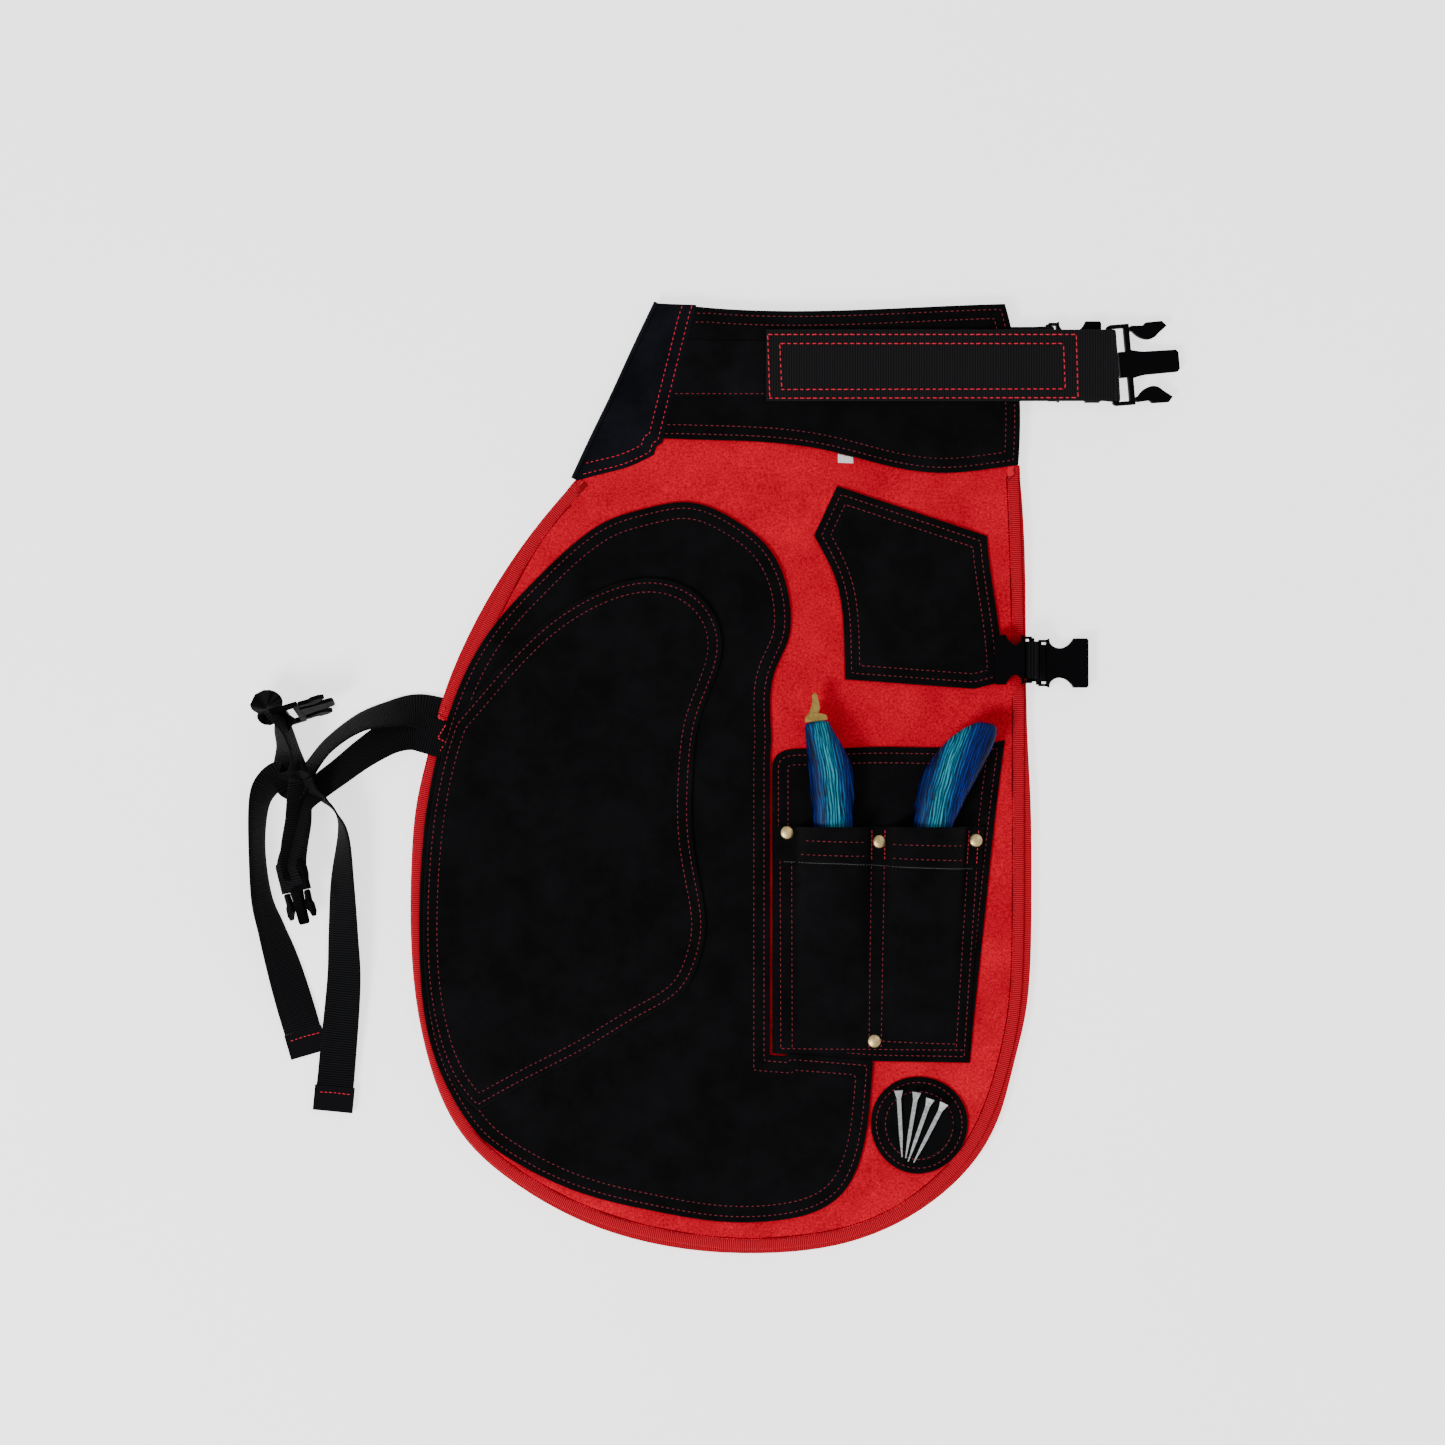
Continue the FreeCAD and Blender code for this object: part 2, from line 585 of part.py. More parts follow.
def forked_slot(start, end, clear, web):
    """A webbing slot with a web of plastic standing into it, in line with the guide."""
    root = size("loop_bar") + size("bar_play") + size("loop_webbing") + 0.8
    return polygon(
        (start, -clear), (end, -clear), (end, -web), (root, -web), (root, web), (end, web),
        (end, clear), (start, clear),
    )


def turned_bar(body, width):
    """A round bar across a buckle, for a webbing loop to turn about."""
    bar = body.newObject("PartDesign::AdditiveCylinder", f"{body.Name}_bar")
    bar.setExpression("Radius", "Sizes.loop_bar - 0.1")
    bar.Height = width - 4
    bar.AttachmentSupport = None
    bar.MapMode = "Deactivated"
    bar.Placement = Placement(Vector(0, 2 - width / 2, 0), Rotation(Vector(0, 0, 1), Vector(0, 1, 0)))


def arm_pivot(width, root):
    """Where an arm meets the frame: distance along and out from the buckle's middle."""
    return root + 2.2, width / 2 - 3.4


def arm_outline(width, root, tip, way):
    """A spring arm: round root, slim spring and a barbed head that catches in the female half."""
    x, y = arm_pivot(width, root)
    end, half = tip - 0.12 * width, width / 2
    head = end - 0.26 * width
    points = [
        [(x, y - 1.9), (x - 1.9, y - 0.6), (x - 1.9, y + 0.6), (x, y + 1.9)],
        [(x, y + 1.9), (head - 2, half - 1.9)],
        [(head - 2, half - 1.9), (head, half)],
        [(head, half), (end - 3, half + 0.2)],
        [(end - 3, half + 0.2), (end, half - 0.06 * width)],
        [(end, half - 0.06 * width), (end - 0.12 * width, half - 0.15 * width)],
        [(end - 0.12 * width, half - 0.15 * width), (head, half - 0.21 * width),
         (x + 0.5 * (head - x), half - 0.18 * width), (x, y - 1.9)],
    ]
    return [[(a, way * b) for a, b in run] for run in points]


def female_buckle(label, width, length, height_name, placement):
    """The female half: a hollow housing with scalloped sides, behind a bar for its webbing."""
    tall = size(height_name)
    body = new_body(label)
    bar, half = size("loop_bar"), width / 2
    back, waist, narrow = 5.0, 0.7 * length, 0.2 * min(width, 40)
    middle, turn = (back + waist) / 2, 0.34 * (waist - back)
    outline = [
        [(0, -half + 1), (0, half - 1)],
        [(0, half - 1), (back, half - 1)],
        [(back, half - 1), (back + 2, half)],
        [(back + 2, half), (middle - turn, half - 0.6 * narrow), (middle, half - narrow),
         (middle + turn, half - 0.6 * narrow), (waist, half)],
        [(waist, half), (length - 1, half)],
        [(length - 1, half), (length, half - 1.2)],
        [(length, half - 1.2), (length, -half + 1.2)],
        [(length, -half + 1.2), (length - 1, -half)],
        [(length - 1, -half), (waist, -half)],
        [(waist, -half), (middle + turn, 0.6 * narrow - half), (middle, narrow - half),
         (middle - turn, 0.6 * narrow - half), (back + 2, -half)],
        [(back + 2, -half), (back, -half + 1)],
        [(back, -half + 1), (0, -half + 1)],
    ]
    pad(body, "housing", outline, f"Sizes.{height_name}", -tall / 2)
    wall = 1.1
    inside = box_outline(-half + 2.6, -tall / 2 + wall, half - 2.6, tall / 2 - wall)
    pocket(body, "mouth", inside, f"{length - back - 3.0}", length, "YZ_Plane")
    slot = box_outline(-1, -half + 2.6, back, half - 2.6)
    pocket(body, "webbing_gap", slot, f"{2 * tall}", tall)
    turned_bar(body, width)
    body.Placement = placement


def webbing_loop(label, bar_place, half_width, tab, ring_turn=0.0):
    """Webbing turned about a buckle's bar, with the flat run that is sewn to the leaf.

    tab is the flat run's outline in x and height about the bar's middle, and ring_turn is how
    far the turned end is swung to follow a bar that isn't square to the strap.
    """
    bar_radius = size("loop_bar") + size("bar_play")
    body = new_body(label)
    pad(body, "tab", tab, f"{2 * half_width}", -half_width, "XZ_Plane")
    swing = Rotation(Vector(0, 1, 0), ring_turn)
    reach = half_width - size("bar_play") / 2
    rounds = (
        ("turn", "PartDesign::Pad", bar_radius + size("loop_webbing"), -reach, 2 * reach),
        ("eye", "PartDesign::Pocket", bar_radius, reach + 3, 2 * reach + 6),
    )
    for name, kind, radius, start, length in rounds:
        doc.recompute()
        sketch = new_sketch(body, f"{name}_sketch", "XZ_Plane")
        sketch.AttachmentOffset = Placement(swing.multVec(Vector(0, 0, start)), swing)
        sketch.addGeometry(Part.Circle(Vector(0, 0, 0), Vector(0, 0, 1), radius), False)
        feature = body.newObject(kind, f"{body.Name}_{name}")
        feature.Profile = sketch
        feature.Length = length
    doc.recompute()
    body.Placement = Placement(Vector(*bar_place), Rotation())


def waist_closure():
    """Both waist straps with their webbing loops, and the two halves of the waist buckle."""
    webbing = size("waist_webbing")
    left, low, high = WAIST_STRAP
    x, y, z = WAIST_BAR
    top = size("stack") + 2 * size("canvas") + size("leaf_gap") + size("yoke_leather")
    under = top + size("loop_strip") + size("leaf_gap") - z
    strap = polygon((left - x, under), (0.5, under), (0.5, under + webbing), (left - x, under + webbing))
    webbing_loop("waist_strap_left", WAIST_BAR, (high - low) / 2, strap, WAIST_BUCKLE_TURN)
    fx, fy, fz = WAIST_FEMALE_BAR
    bottom = 0.1 - fz
    strap = polygon((20 - fx, bottom), (0, bottom), (0, bottom + 1.9), (20 - fx, bottom + 1.9))
    webbing_loop("waist_strap_right", WAIST_FEMALE_BAR, (high - low) / 2, strap)
    turn = Rotation(Vector(0, 0, 1), WAIST_BUCKLE_TURN)
    drop = Rotation(Vector(0, 1, 0), WAIST_BUCKLE_DROP)
    male = Placement(Vector(*WAIST_BAR), turn.multiply(drop))
    width = size("waist_buckle_width")
    male_buckle("waist_buckle_male", width, "waist_buckle_plate", [0.0], 9.8, 45.6, 7.8, male, True)
    female = Placement(Vector(*WAIST_FEMALE_BAR), Rotation())
    female_buckle("waist_buckle_female", width, 35.0, "waist_female_height", female)


def leg_females():
    """The two female leg buckles: the left one lies back on the leaf, the right one points out."""
    width = size("leg_buckle_width")
    back = Rotation(Vector(0, 0, 1), 180)
    female_buckle(
        "leg_buckle_female_left", width, 24.5, "leg_female_height",
        Placement(Vector(*LEFT_FEMALE_BAR), back),
    )
    female_buckle(
        "leg_buckle_female_right", width, 33.0, "leg_female_height",
        Placement(Vector(*RIGHT_FEMALE_BAR), Rotation()),
    )
    level = size("stack") + size("canvas") + size("leaf_gap")
    near = 152.6 - LEFT_FEMALE_BAR[0]
    down = level - LEFT_FEMALE_BAR[2]
    top = down + size("loop_webbing")
    tab = polygon((near, down), (1, down), (2.6, -2.9), (-2.2, -2.9), (-2.6, top), (near, top))
    webbing_loop("buckle_loop_left", LEFT_FEMALE_BAR, 12.3, tab)
    near = 150.0 - RIGHT_FEMALE_BAR[0]
    tab = polygon((near, -1.1), (-2.5, -1.1), (-2.5, 0.6), (near, 0.6))
    webbing_loop("buckle_loop_right", RIGHT_FEMALE_BAR, 12.3, tab)


def ribbon_edges(line):
    """The two edges of a ribbon seen from above, each as one smooth run."""
    middle = [(x, y) for x, y, _ in line]
    edges = []
    for way in (1, -1):
        edge = []
        for k, (x, y, half) in enumerate(line):
            before = middle[max(k - 1, 0)]
            after = middle[min(k + 1, len(line) - 1)]
            run = Vector(after[0] - before[0], after[1] - before[1], 0).normalize()
            edge.append((x - way * run.y * half, y + way * run.x * half))
        edges.append(edge)
    return edges


def leg_strap(side, stretches, level):
    """A loose leg strap as one plain solid: its stretches overlap where the webbing turns."""
    body = new_body(f"leg_strap_{side}")
    for number, line in enumerate(stretches):
        left, right = ribbon_edges(line)
        outline = [left, [left[-1], right[-1]], right[::-1], [right[0], left[0]]]
        pad(body, f"stretch_{number}", outline, "Sizes.leg_webbing")
        doc.recompute()
    body.setExpression("Placement.Base.z", level)
    lengths = [
        sum(math.dist(a[:2], b[:2]) for a, b in zip(line, line[1:], strict=False))
        for line in stretches
    ]
    print(f"leg_strap_{side} stretches", [round(length) for length in lengths])


def end_tab(side, line, level):
    """The moulded tab over the end of a leg strap, in line with the webbing's last stretch."""
    (x0, y0, _), (x, y, half) = line[-2:]
    turn = math.degrees(math.atan2(y - y0, x - x0))
    body = new_body(f"leg_strap_{side}_end")
    pad(body, "tab", box_outline(0.1, -half - 1.3, 17, half + 1.3), "Sizes.tab_height")
    body.Placement = Placement(Vector(x, y, level), Rotation(Vector(0, 0, 1), turn))


def leg_straps():
    """Both loose straps with their end tabs and male buckles."""
    left = [LEFT_STRAP_RUN, LEFT_STRAP_DROP, LEFT_STRAP_TAIL]
    right = [RIGHT_STRAP_RUN, RIGHT_STRAP_RISE, RIGHT_STRAP_TAIL]
    leg_strap("left", left, "Sizes.second_layer")
    leg_strap("right", right, "0.2")
    end_tab("left", LEFT_STRAP_TAIL, size("second_layer") - 0.4)
    end_tab("right", RIGHT_STRAP_TAIL, 0.0)
    width = size("leg_buckle_width")
    down = Rotation(Vector(0, 0, 1), -76).multiply(Rotation(Vector(1, 0, 0), 52))
    out = Rotation(Vector(0, 0, 1), 17).multiply(Rotation(Vector(1, 0, 0), 72))
    for side, place, aim in (("left", LEFT_MALE_BUCKLE, down), ("right", RIGHT_MALE_BUCKLE, out)):
        male_buckle(
            f"leg_buckle_male_{side}", width, "leg_buckle_plate", [0.0, 8.0], 15.0, 41.0, 5.4,
            Placement(Vector(*place), aim),
        )


def size_tag():
    """The blank woven size tag that shows under the yoke's lower edge."""
    plate("size_tag", polygon(*SIZE_TAG), "Sizes.tag_height", UPPER)


def write_pieces():
    """Checks every object and every piece, then writes each piece to its own file."""
    doc.recompute()
    for item in doc.Objects:
        if "Invalid" in item.State or "Error" in item.State:
            raise RuntimeError(f"{item.Name} failed: {item.State}")
    os.makedirs("parts", exist_ok=True)
    for body in pieces:
        shape = body.Shape
        if shape.isNull() or not shape.isValid() or not shape.Solids:
            raise RuntimeError(f"{body.Label} has no valid shape")
        shape.exportStep(f"parts/{body.Label}.step")
    print(len(pieces), "pieces")


canvas_and_binding("left", UPPER_EDGE, f"{UPPER} - Sizes.canvas")
canvas_and_binding("right", LOWER_EDGE, LOWER)
leathers()
gusset()
left_pocket()
right_pocket()
all_rivets()
upper_face = size("stack") + 2 * size("canvas") + size("leaf_gap")
magnet_holder("left", upper_face, 1)
magnet_holder("right", size("stack"), -1)
nails()
knives()
waist_closure()
leg_females()
leg_straps()
size_tag()
write_pieces()
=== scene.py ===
import math

import bmesh
import bpy
import numpy as np
from mathutils import Matrix, Vector
from mathutils.geometry import delaunay_2d_cdt
from mathutils.kdtree import KDTree


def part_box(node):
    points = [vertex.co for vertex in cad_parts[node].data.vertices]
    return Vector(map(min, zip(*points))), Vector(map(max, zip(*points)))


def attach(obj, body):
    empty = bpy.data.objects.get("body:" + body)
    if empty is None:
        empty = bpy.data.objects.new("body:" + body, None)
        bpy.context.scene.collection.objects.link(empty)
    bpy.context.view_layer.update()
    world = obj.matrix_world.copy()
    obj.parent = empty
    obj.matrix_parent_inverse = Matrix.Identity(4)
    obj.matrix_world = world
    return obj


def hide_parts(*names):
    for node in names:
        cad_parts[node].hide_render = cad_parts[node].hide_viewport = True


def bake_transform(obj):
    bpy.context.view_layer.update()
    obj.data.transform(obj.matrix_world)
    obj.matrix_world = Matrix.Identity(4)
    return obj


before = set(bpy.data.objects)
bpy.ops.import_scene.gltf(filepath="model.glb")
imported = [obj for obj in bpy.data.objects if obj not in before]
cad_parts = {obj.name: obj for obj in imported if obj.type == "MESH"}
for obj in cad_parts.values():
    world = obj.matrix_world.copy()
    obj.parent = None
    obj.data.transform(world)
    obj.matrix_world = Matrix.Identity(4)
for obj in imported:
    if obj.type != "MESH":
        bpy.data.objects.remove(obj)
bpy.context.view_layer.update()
MM = 0.001
ROW_STEP = 2.5 * MM
rng = np.random.default_rng(7)


# ---------------------------------------------------------------- materials
def shader(name, color, rough, sheen=0.0, metal=0.0, specular=0.5):
    """A Principled material, with its node tree and its shader node."""
    material = bpy.data.materials.new(name)
    material.use_nodes = True
    tree = material.node_tree
    principled = tree.nodes["Principled BSDF"]
    principled.inputs["Base Color"].default_value = (*color, 1)
    principled.inputs["Roughness"].default_value = rough
    principled.inputs["Metallic"].default_value = metal
    principled.inputs["Specular IOR Level"].default_value = specular
    principled.inputs["Sheen Weight"].default_value = sheen
    principled.inputs["Sheen Roughness"].default_value = 0.6
    return material, tree, principled


def place(tree, attribute=None):
    """Where a texture is read: the object's own space, or a woven piece's along-and-across."""
    if attribute:
        node = tree.nodes.new("ShaderNodeAttribute")
        node.attribute_name = attribute
        return node.outputs["Vector"]
    return tree.nodes.new("ShaderNodeTexCoord").outputs["Object"]


def stretched(tree, where, scale, turn=0.0):
    """The texture's space scaled along each axis and turned by some degrees."""
    node = tree.nodes.new("ShaderNodeMapping")
    node.inputs["Scale"].default_value = scale
    node.inputs["Rotation"].default_value = (0, 0, math.radians(turn))
    tree.links.new(where, node.inputs["Vector"])
    return node.outputs["Vector"]


def noise(tree, where, scale, detail=3.0, rough=0.6):
    node = tree.nodes.new("ShaderNodeTexNoise")
    node.inputs["Scale"].default_value = scale
    node.inputs["Detail"].default_value = detail
    node.inputs["Roughness"].default_value = rough
    tree.links.new(where, node.inputs["Vector"])
    return node.outputs["Fac"]


def wave(tree, where, scale, direction="X", distortion=0.0):
    node = tree.nodes.new("ShaderNodeTexWave")
    node.bands_direction = direction
    node.inputs["Scale"].default_value = scale
    node.inputs["Distortion"].default_value = distortion
    node.inputs["Detail"].default_value = 1.0
    tree.links.new(where, node.inputs["Vector"])
    return node.outputs["Fac"]


def blended(tree, factor, stops):
    """A colour for each value of a factor, from stops of (position, colour)."""
    node = tree.nodes.new("ShaderNodeValToRGB")
    ramp = node.color_ramp
    while len(ramp.elements) < len(stops):
        ramp.elements.new(0.5)
    for element, (at, color) in zip(ramp.elements, stops):
        element.position = at
        element.color = (*color, 1)
    tree.links.new(factor, node.inputs["Fac"])
    return node.outputs["Color"]


def ramp_into(tree, socket, factor, stops):
    tree.links.new(blended(tree, factor, stops), socket)


def mix_of(tree, a, b, share=0.5, mode="MIX"):
    node = tree.nodes.new("ShaderNodeMix")
    node.data_type = "RGBA"
    node.blend_type = mode
    node.inputs["Factor"].default_value = share
    tree.links.new(a, node.inputs[6])
    tree.links.new(b, node.inputs[7])
    return node.outputs[2]


def bump(tree, principled, height, distance, strength=1.0, under=None):
    node = tree.nodes.new("ShaderNodeBump")
    node.inputs["Distance"].default_value = distance
    node.inputs["Strength"].default_value = strength
    tree.links.new(height, node.inputs["Height"])
    if under is not None:
        tree.links.new(under, node.inputs["Normal"])
    tree.links.new(node.outputs["Normal"], principled.inputs["Normal"])
    return node.outputs["Normal"]


def suede(name, dark, light):
    """Napped split leather: a fine short nap over larger, softer patches."""
    material, tree, principled = shader(name, dark, 0.95, sheen=0.015, specular=0.05)
    where = place(tree)
    patches = noise(tree, where, 38.0, 4.0, 0.62)
    ramp_into(tree, principled.inputs["Base Color"], patches, [(0.35, dark), (0.7, light)])
    nap = noise(tree, where, 1400.0, 4.0, 0.75)
    crease_and_painted_shade = noise(tree, where, 160.0, 3.0, 0.6)
    first = bump(tree, principled, crease_and_painted_shade, 0.0004, 0.5)
    bump(tree, principled, nap, 0.0003, 0.7, first)
    return material


def canvas_cloth(name, dark, light):
    """Brushed twill: fine slanting ribs under a fuzzy surface, with broad patches of painted soft shade."""
    material, tree, principled = shader(name, light, 0.9, sheen=0.04, specular=0.05)
    principled.inputs["Sheen Tint"].default_value = (1.0, 0.08, 0.08, 1)
    where = place(tree)
    twill = wave(tree, stretched(tree, where, (1, 1, 1), 58), 420.0, "X", 2.5)
    fuzz = noise(tree, where, 650.0, 5.0, 0.8)
    clouds = noise(tree, where, 30.0, 3.0, 0.6)
    fine = blended(tree, fuzz, [(0.3, dark), (0.68, light)])
    # Painted shade: broad soft patches up to about a quarter darker, standing in for the shading of wrinkles.
    broad_painted_shade = blended(tree, clouds, [(0.32, (0.72, 0.72, 0.74)), (0.66, (1, 1, 1))])
    tree.links.new(mix_of(tree, fine, broad_painted_shade, 1.0, "MULTIPLY"), principled.inputs["Base Color"])
    first = bump(tree, principled, twill, 0.00018, 0.6)
    bump(tree, principled, fuzz, 0.00045, 0.8, first)
    return material


def ribbed(name, dark, light, pitch, depth=0.00035, sheen=0.02, rough=0.8, specular=0.12):
    """Narrow woven tape: cross ribs along its length with the yarn's own twist in them. Its colour follows the
    ribs: painted shade in the grooves, painted highlight on the crests.
    """
    material, tree, principled = shader(name, light, rough, sheen=sheen, specular=specular)
    where = place(tree, "weave")
    ribs = wave(tree, where, math.pi / pitch / 10.0, "X", 0.25)
    yarn = noise(tree, stretched(tree, where, (1, 0.35, 1)), 2600.0, 2.0, 0.6)
    # Painted shade and highlight: darker colour in the rib grooves, lighter on the crests.
    ramp_into(tree, principled.inputs["Base Color"], ribs, [(0.1, dark), (0.75, light)])
    first = bump(tree, principled, ribs, depth, 0.9)
    bump(tree, principled, yarn, 0.00015, 0.5, first)
    return material


def plastic(name, color, rough):
    """Moulded acetal: a soft sheen with a faint grain and handling marks."""
    material, tree, principled = shader(name, color, rough, specular=0.03)
    where = place(tree)
    smudge = noise(tree, where, 120.0, 4.0, 0.6)
    ramp_into(tree, principled.inputs["Roughness"], smudge,
              [(0.3, (rough - 0.08,) * 3), (0.7, (rough + 0.1,) * 3)])
    bump(tree, principled, noise(tree, where, 2200.0, 2.0), 0.00006, 0.4)
    return material


def metal(name, color, rough):
    """Brushed metal with fine scratches and darker stains."""
    material, tree, principled = shader(name, color, rough, metal=1.0)
    where = place(tree)
    brushed = noise(tree, stretched(tree, where, (60, 1400, 1400)), 1.0, 3.0, 0.6)
    ramp_into(tree, principled.inputs["Roughness"], brushed,
              [(0.3, (rough - 0.1,) * 3), (0.7, (rough + 0.15,) * 3)])
    stain = noise(tree, where, 420.0, 3.0, 0.6)
    darker = tuple(0.6 * c for c in color)
    ramp_into(tree, principled.inputs["Base Color"], stain, [(0.3, darker), (0.62, color)])
    bump(tree, principled, brushed, 0.00005, 0.5)
    return material


def dyed_wood_painted_highlight(name):
    """Dyed laminate: teal and blue plies with dark grain lines that run to the butt. Across the handle the
    colour is lightest teal along the middle and darkest blue at the sides: the dye's own colours, with a
    painted highlight along the crest.
    """
    material, tree, principled = shader(name, (0.02, 0.2, 0.4), 0.5, specular=0.12)
    where = place(tree, "weave")
    clouds = noise(tree, stretched(tree, where, (12, 130, 1)), 1.0, 3.0, 0.6)
    lines = noise(tree, stretched(tree, where, (30, 900, 1)), 1.0, 4.0, 0.8)
    rings = wave(tree, stretched(tree, where, (0.3, 1, 1)), 170.0, "Y", 7.0)
    axes = tree.nodes.new("ShaderNodeSeparateXYZ")
    tree.links.new(where, axes.inputs["Vector"])
    across, spread = (tree.nodes.new("ShaderNodeMath") for _ in range(2))
    across.operation = spread.operation = "MULTIPLY_ADD"
    tree.links.new(axes.outputs["Y"], across.inputs[0])
    across.inputs[1].default_value = 23.8
    across.inputs[2].default_value = 0.44
    tree.links.new(clouds, spread.inputs[0])
    spread.inputs[1].default_value = 0.45
    tree.links.new(across.outputs["Value"], spread.inputs[2])
    # Painted highlight over the dye: lightest teal along the middle of the handle's width, darkest blue at its
    # sides.
    ply_and_painted_highlight = blended(
        tree, spread.outputs["Value"],
        [(0.12, (0.0, 0.008, 0.10)), (0.36, (0.0, 0.020, 0.22)), (0.47, (0.001, 0.09, 0.30)),
         (0.64, (0.02, 0.33, 0.42)), (0.78, (0.002, 0.10, 0.27)), (0.92, (0.0, 0.012, 0.13))],
    )
    line = blended(tree, lines, [(0.44, (0.0, 0.01, 0.06)), (0.55, (1, 1, 1))])
    ring = blended(tree, rings, [(0.2, (0.0, 0.02, 0.12)), (0.66, (1.1, 1.1, 1.1))])
    grained = mix_of(tree, ply_and_painted_highlight, line, 0.9, "MULTIPLY")
    tree.links.new(mix_of(tree, grained, ring, 0.75, "MULTIPLY"), principled.inputs["Base Color"])
    bump(tree, principled, lines, 0.00008, 0.4)
    return material


LEATHER = suede("black_suede", (0.0012, 0.0012, 0.0015), (0.0034, 0.0034, 0.0041))
GUSSET_LEATHER = suede("gusset_suede", (0.002, 0.0022, 0.0036), (0.0055, 0.006, 0.009))
CANVAS = canvas_cloth("red_canvas", (0.30, 0.0003, 0.006), (0.92, 0.0005, 0.029))
BINDING = ribbed("red_binding", (0.20, 0.0002, 0.004), (0.66, 0.0004, 0.020), 0.0013)
WEBBING = ribbed("black_webbing", (0.0003, 0.0003, 0.0004), (0.0064, 0.0064, 0.0076), 0.0016,
                 specular=0.03)
WAIST_WEBBING = ribbed("waist_webbing", (0.001, 0.001, 0.0012), (0.0072, 0.0066, 0.0082), 0.0017)
LOOP_TAPE = suede("loop_tape", (0.0015, 0.0015, 0.0018), (0.0048, 0.0048, 0.0058))
PLASTIC = plastic("buckle_plastic", (0.0016, 0.0015, 0.0021), 0.5)
TAB_PLASTIC = plastic("tab_plastic", (0.0036, 0.0035, 0.0044), 0.5)
BRASS = metal("antique_brass", (0.80, 0.61, 0.29), 0.42)
PICK_BRASS = metal("pick_brass", (0.50, 0.33, 0.09), 0.34)
STEEL = metal("nail_steel", (0.62, 0.63, 0.64), 0.36)
BLADE_STEEL = metal("blade_steel", (0.6, 0.6, 0.6), 0.25)
MAGNET = metal("magnet_coating", (0.1, 0.1, 0.1), 0.4)
WOOD = dyed_wood_painted_highlight("dyed_wood_painted_highlight")
THREAD_DARK = shader("thread_dark", (0.20, 0.005, 0.022), 0.75)[0]
# Grey for a strip of painted highlight along the pocket band's lower edge.
EDGE_HIGHLIGHT_PAINT = shader("painted_edge_highlight", (0.045, 0.045, 0.048), 0.8)[0]
THREAD_RED = shader("thread_red", (0.66, 0.006, 0.034), 0.7)[0]
# Dark red for a strip of painted shade along the binding's seam fold.
SEAM_PAINTED_SHADE = shader("seam_shade", (0.07, 0.0002, 0.003), 0.9, specular=0.05)[0]
THREAD_DEEP = shader("thread_deep", (0.26, 0.0005, 0.008), 0.8)[0]
TAG = ribbed("woven_tag", (0.6, 0.6, 0.58), (0.85, 0.85, 0.83), 0.0009, 0.0001)


# ---------------------------------------------------------------- outlines
def unit(vectors):
    """Each row at length one."""
    return vectors / np.linalg.norm(vectors, axis=1)[:, None]


def left_of(heading):
    """Flat directions turned a quarter to the left."""
    return np.stack([-heading[:, 1], heading[:, 0]], 1)


def run_along(line):
    """How far along a line each of its points lies."""
    return np.concatenate([[0], np.cumsum(np.linalg.norm(np.diff(line, axis=0), axis=1))])


def close(line):
    return np.vstack([line, line[:1]])


def outline(node, top=True):
    """The outer loop of a flat CAD node's upper or lower face, anticlockwise."""
    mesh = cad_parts[node].data
    points = np.array([v.co for v in mesh.vertices], float)
    level = points[:, 2].max() if top else points[:, 2].min()
    flat = np.abs(points[:, 2] - level) < 2e-5
    keys = [tuple(np.round(p[:2], 6)) for p in points]
    count = {}
    for face in mesh.polygons:
        corners = list(face.vertices)
        if all(flat[v] for v in corners):
            for a, b in zip(corners, corners[1:] + corners[:1]):
                if keys[a] != keys[b]:
                    count.setdefault(frozenset((keys[a], keys[b])), []).append((keys[a], keys[b]))
    after = {}
    for found in count.values():
        if len(found) == 1:
            a, b = found[0]
            after.setdefault(a, []).append(b)
            after.setdefault(b, []).append(a)
    loops = []
    left = set(after)
    while left:
        start = left.pop()
        loop, last, here = [start], None, start
        while True:
            step = [p for p in after[here] if p != last]
            if not step or step[0] == start:
                break
            last, here = here, step[0]
            if here not in left:
                break
            left.discard(here)
            loop.append(here)
        loops.append(np.array(loop, float))
    loop = max(loops, key=lambda ring: abs(area(ring)))
    return loop if area(loop) > 0 else loop[::-1]


def area(loop):
    """Positive when the loop runs anticlockwise."""
    x, y = loop[:, 0], loop[:, 1]
    return 0.5 * float(np.sum(x * np.roll(y, -1) - y * np.roll(x, -1)))


def along(line, step, closed=False):
    """Points at an even step on a line, with its corners kept."""
    points = np.vstack([line, line[:1]]) if closed else line
    legs = np.diff(points, axis=0)
    heading = np.arctan2(legs[:, 1], legs[:, 0])
    turn = np.abs((np.diff(heading) + math.pi) % (2 * math.pi) - math.pi)
    corners = [0] + [k + 1 for k, t in enumerate(turn) if t > 0.45] + [len(points) - 1]
    out = []
    for a, b in zip(corners, corners[1:]):
        part = points[a:b + 1]
        run = run_along(part)
        count = max(1, int(round(run[-1] / step)))
        places = np.linspace(0, run[-1], count + 1)[:-1]
        out.append(np.stack([np.interp(places, run, part[:, k]) for k in range(part.shape[1])], 1))
    if not closed:
        out.append(points[-1:])
    return np.vstack(out)


def inward(loop, distance):
    """A loop's parallel at a distance inside it, mitred at its corners."""
    one = left_of(unit(loop - np.roll(loop, 1, 0)))
    two = left_of(unit(np.roll(loop, -1, 0) - loop))
    lean = np.maximum(1 + (one * two).sum(1), 0.3)
    moved = loop + (one + two) / lean[:, None] * distance
    far, _ = nearest(moved, close(loop))
    return moved[(far > 0.97 * distance) & inside(moved, loop)]


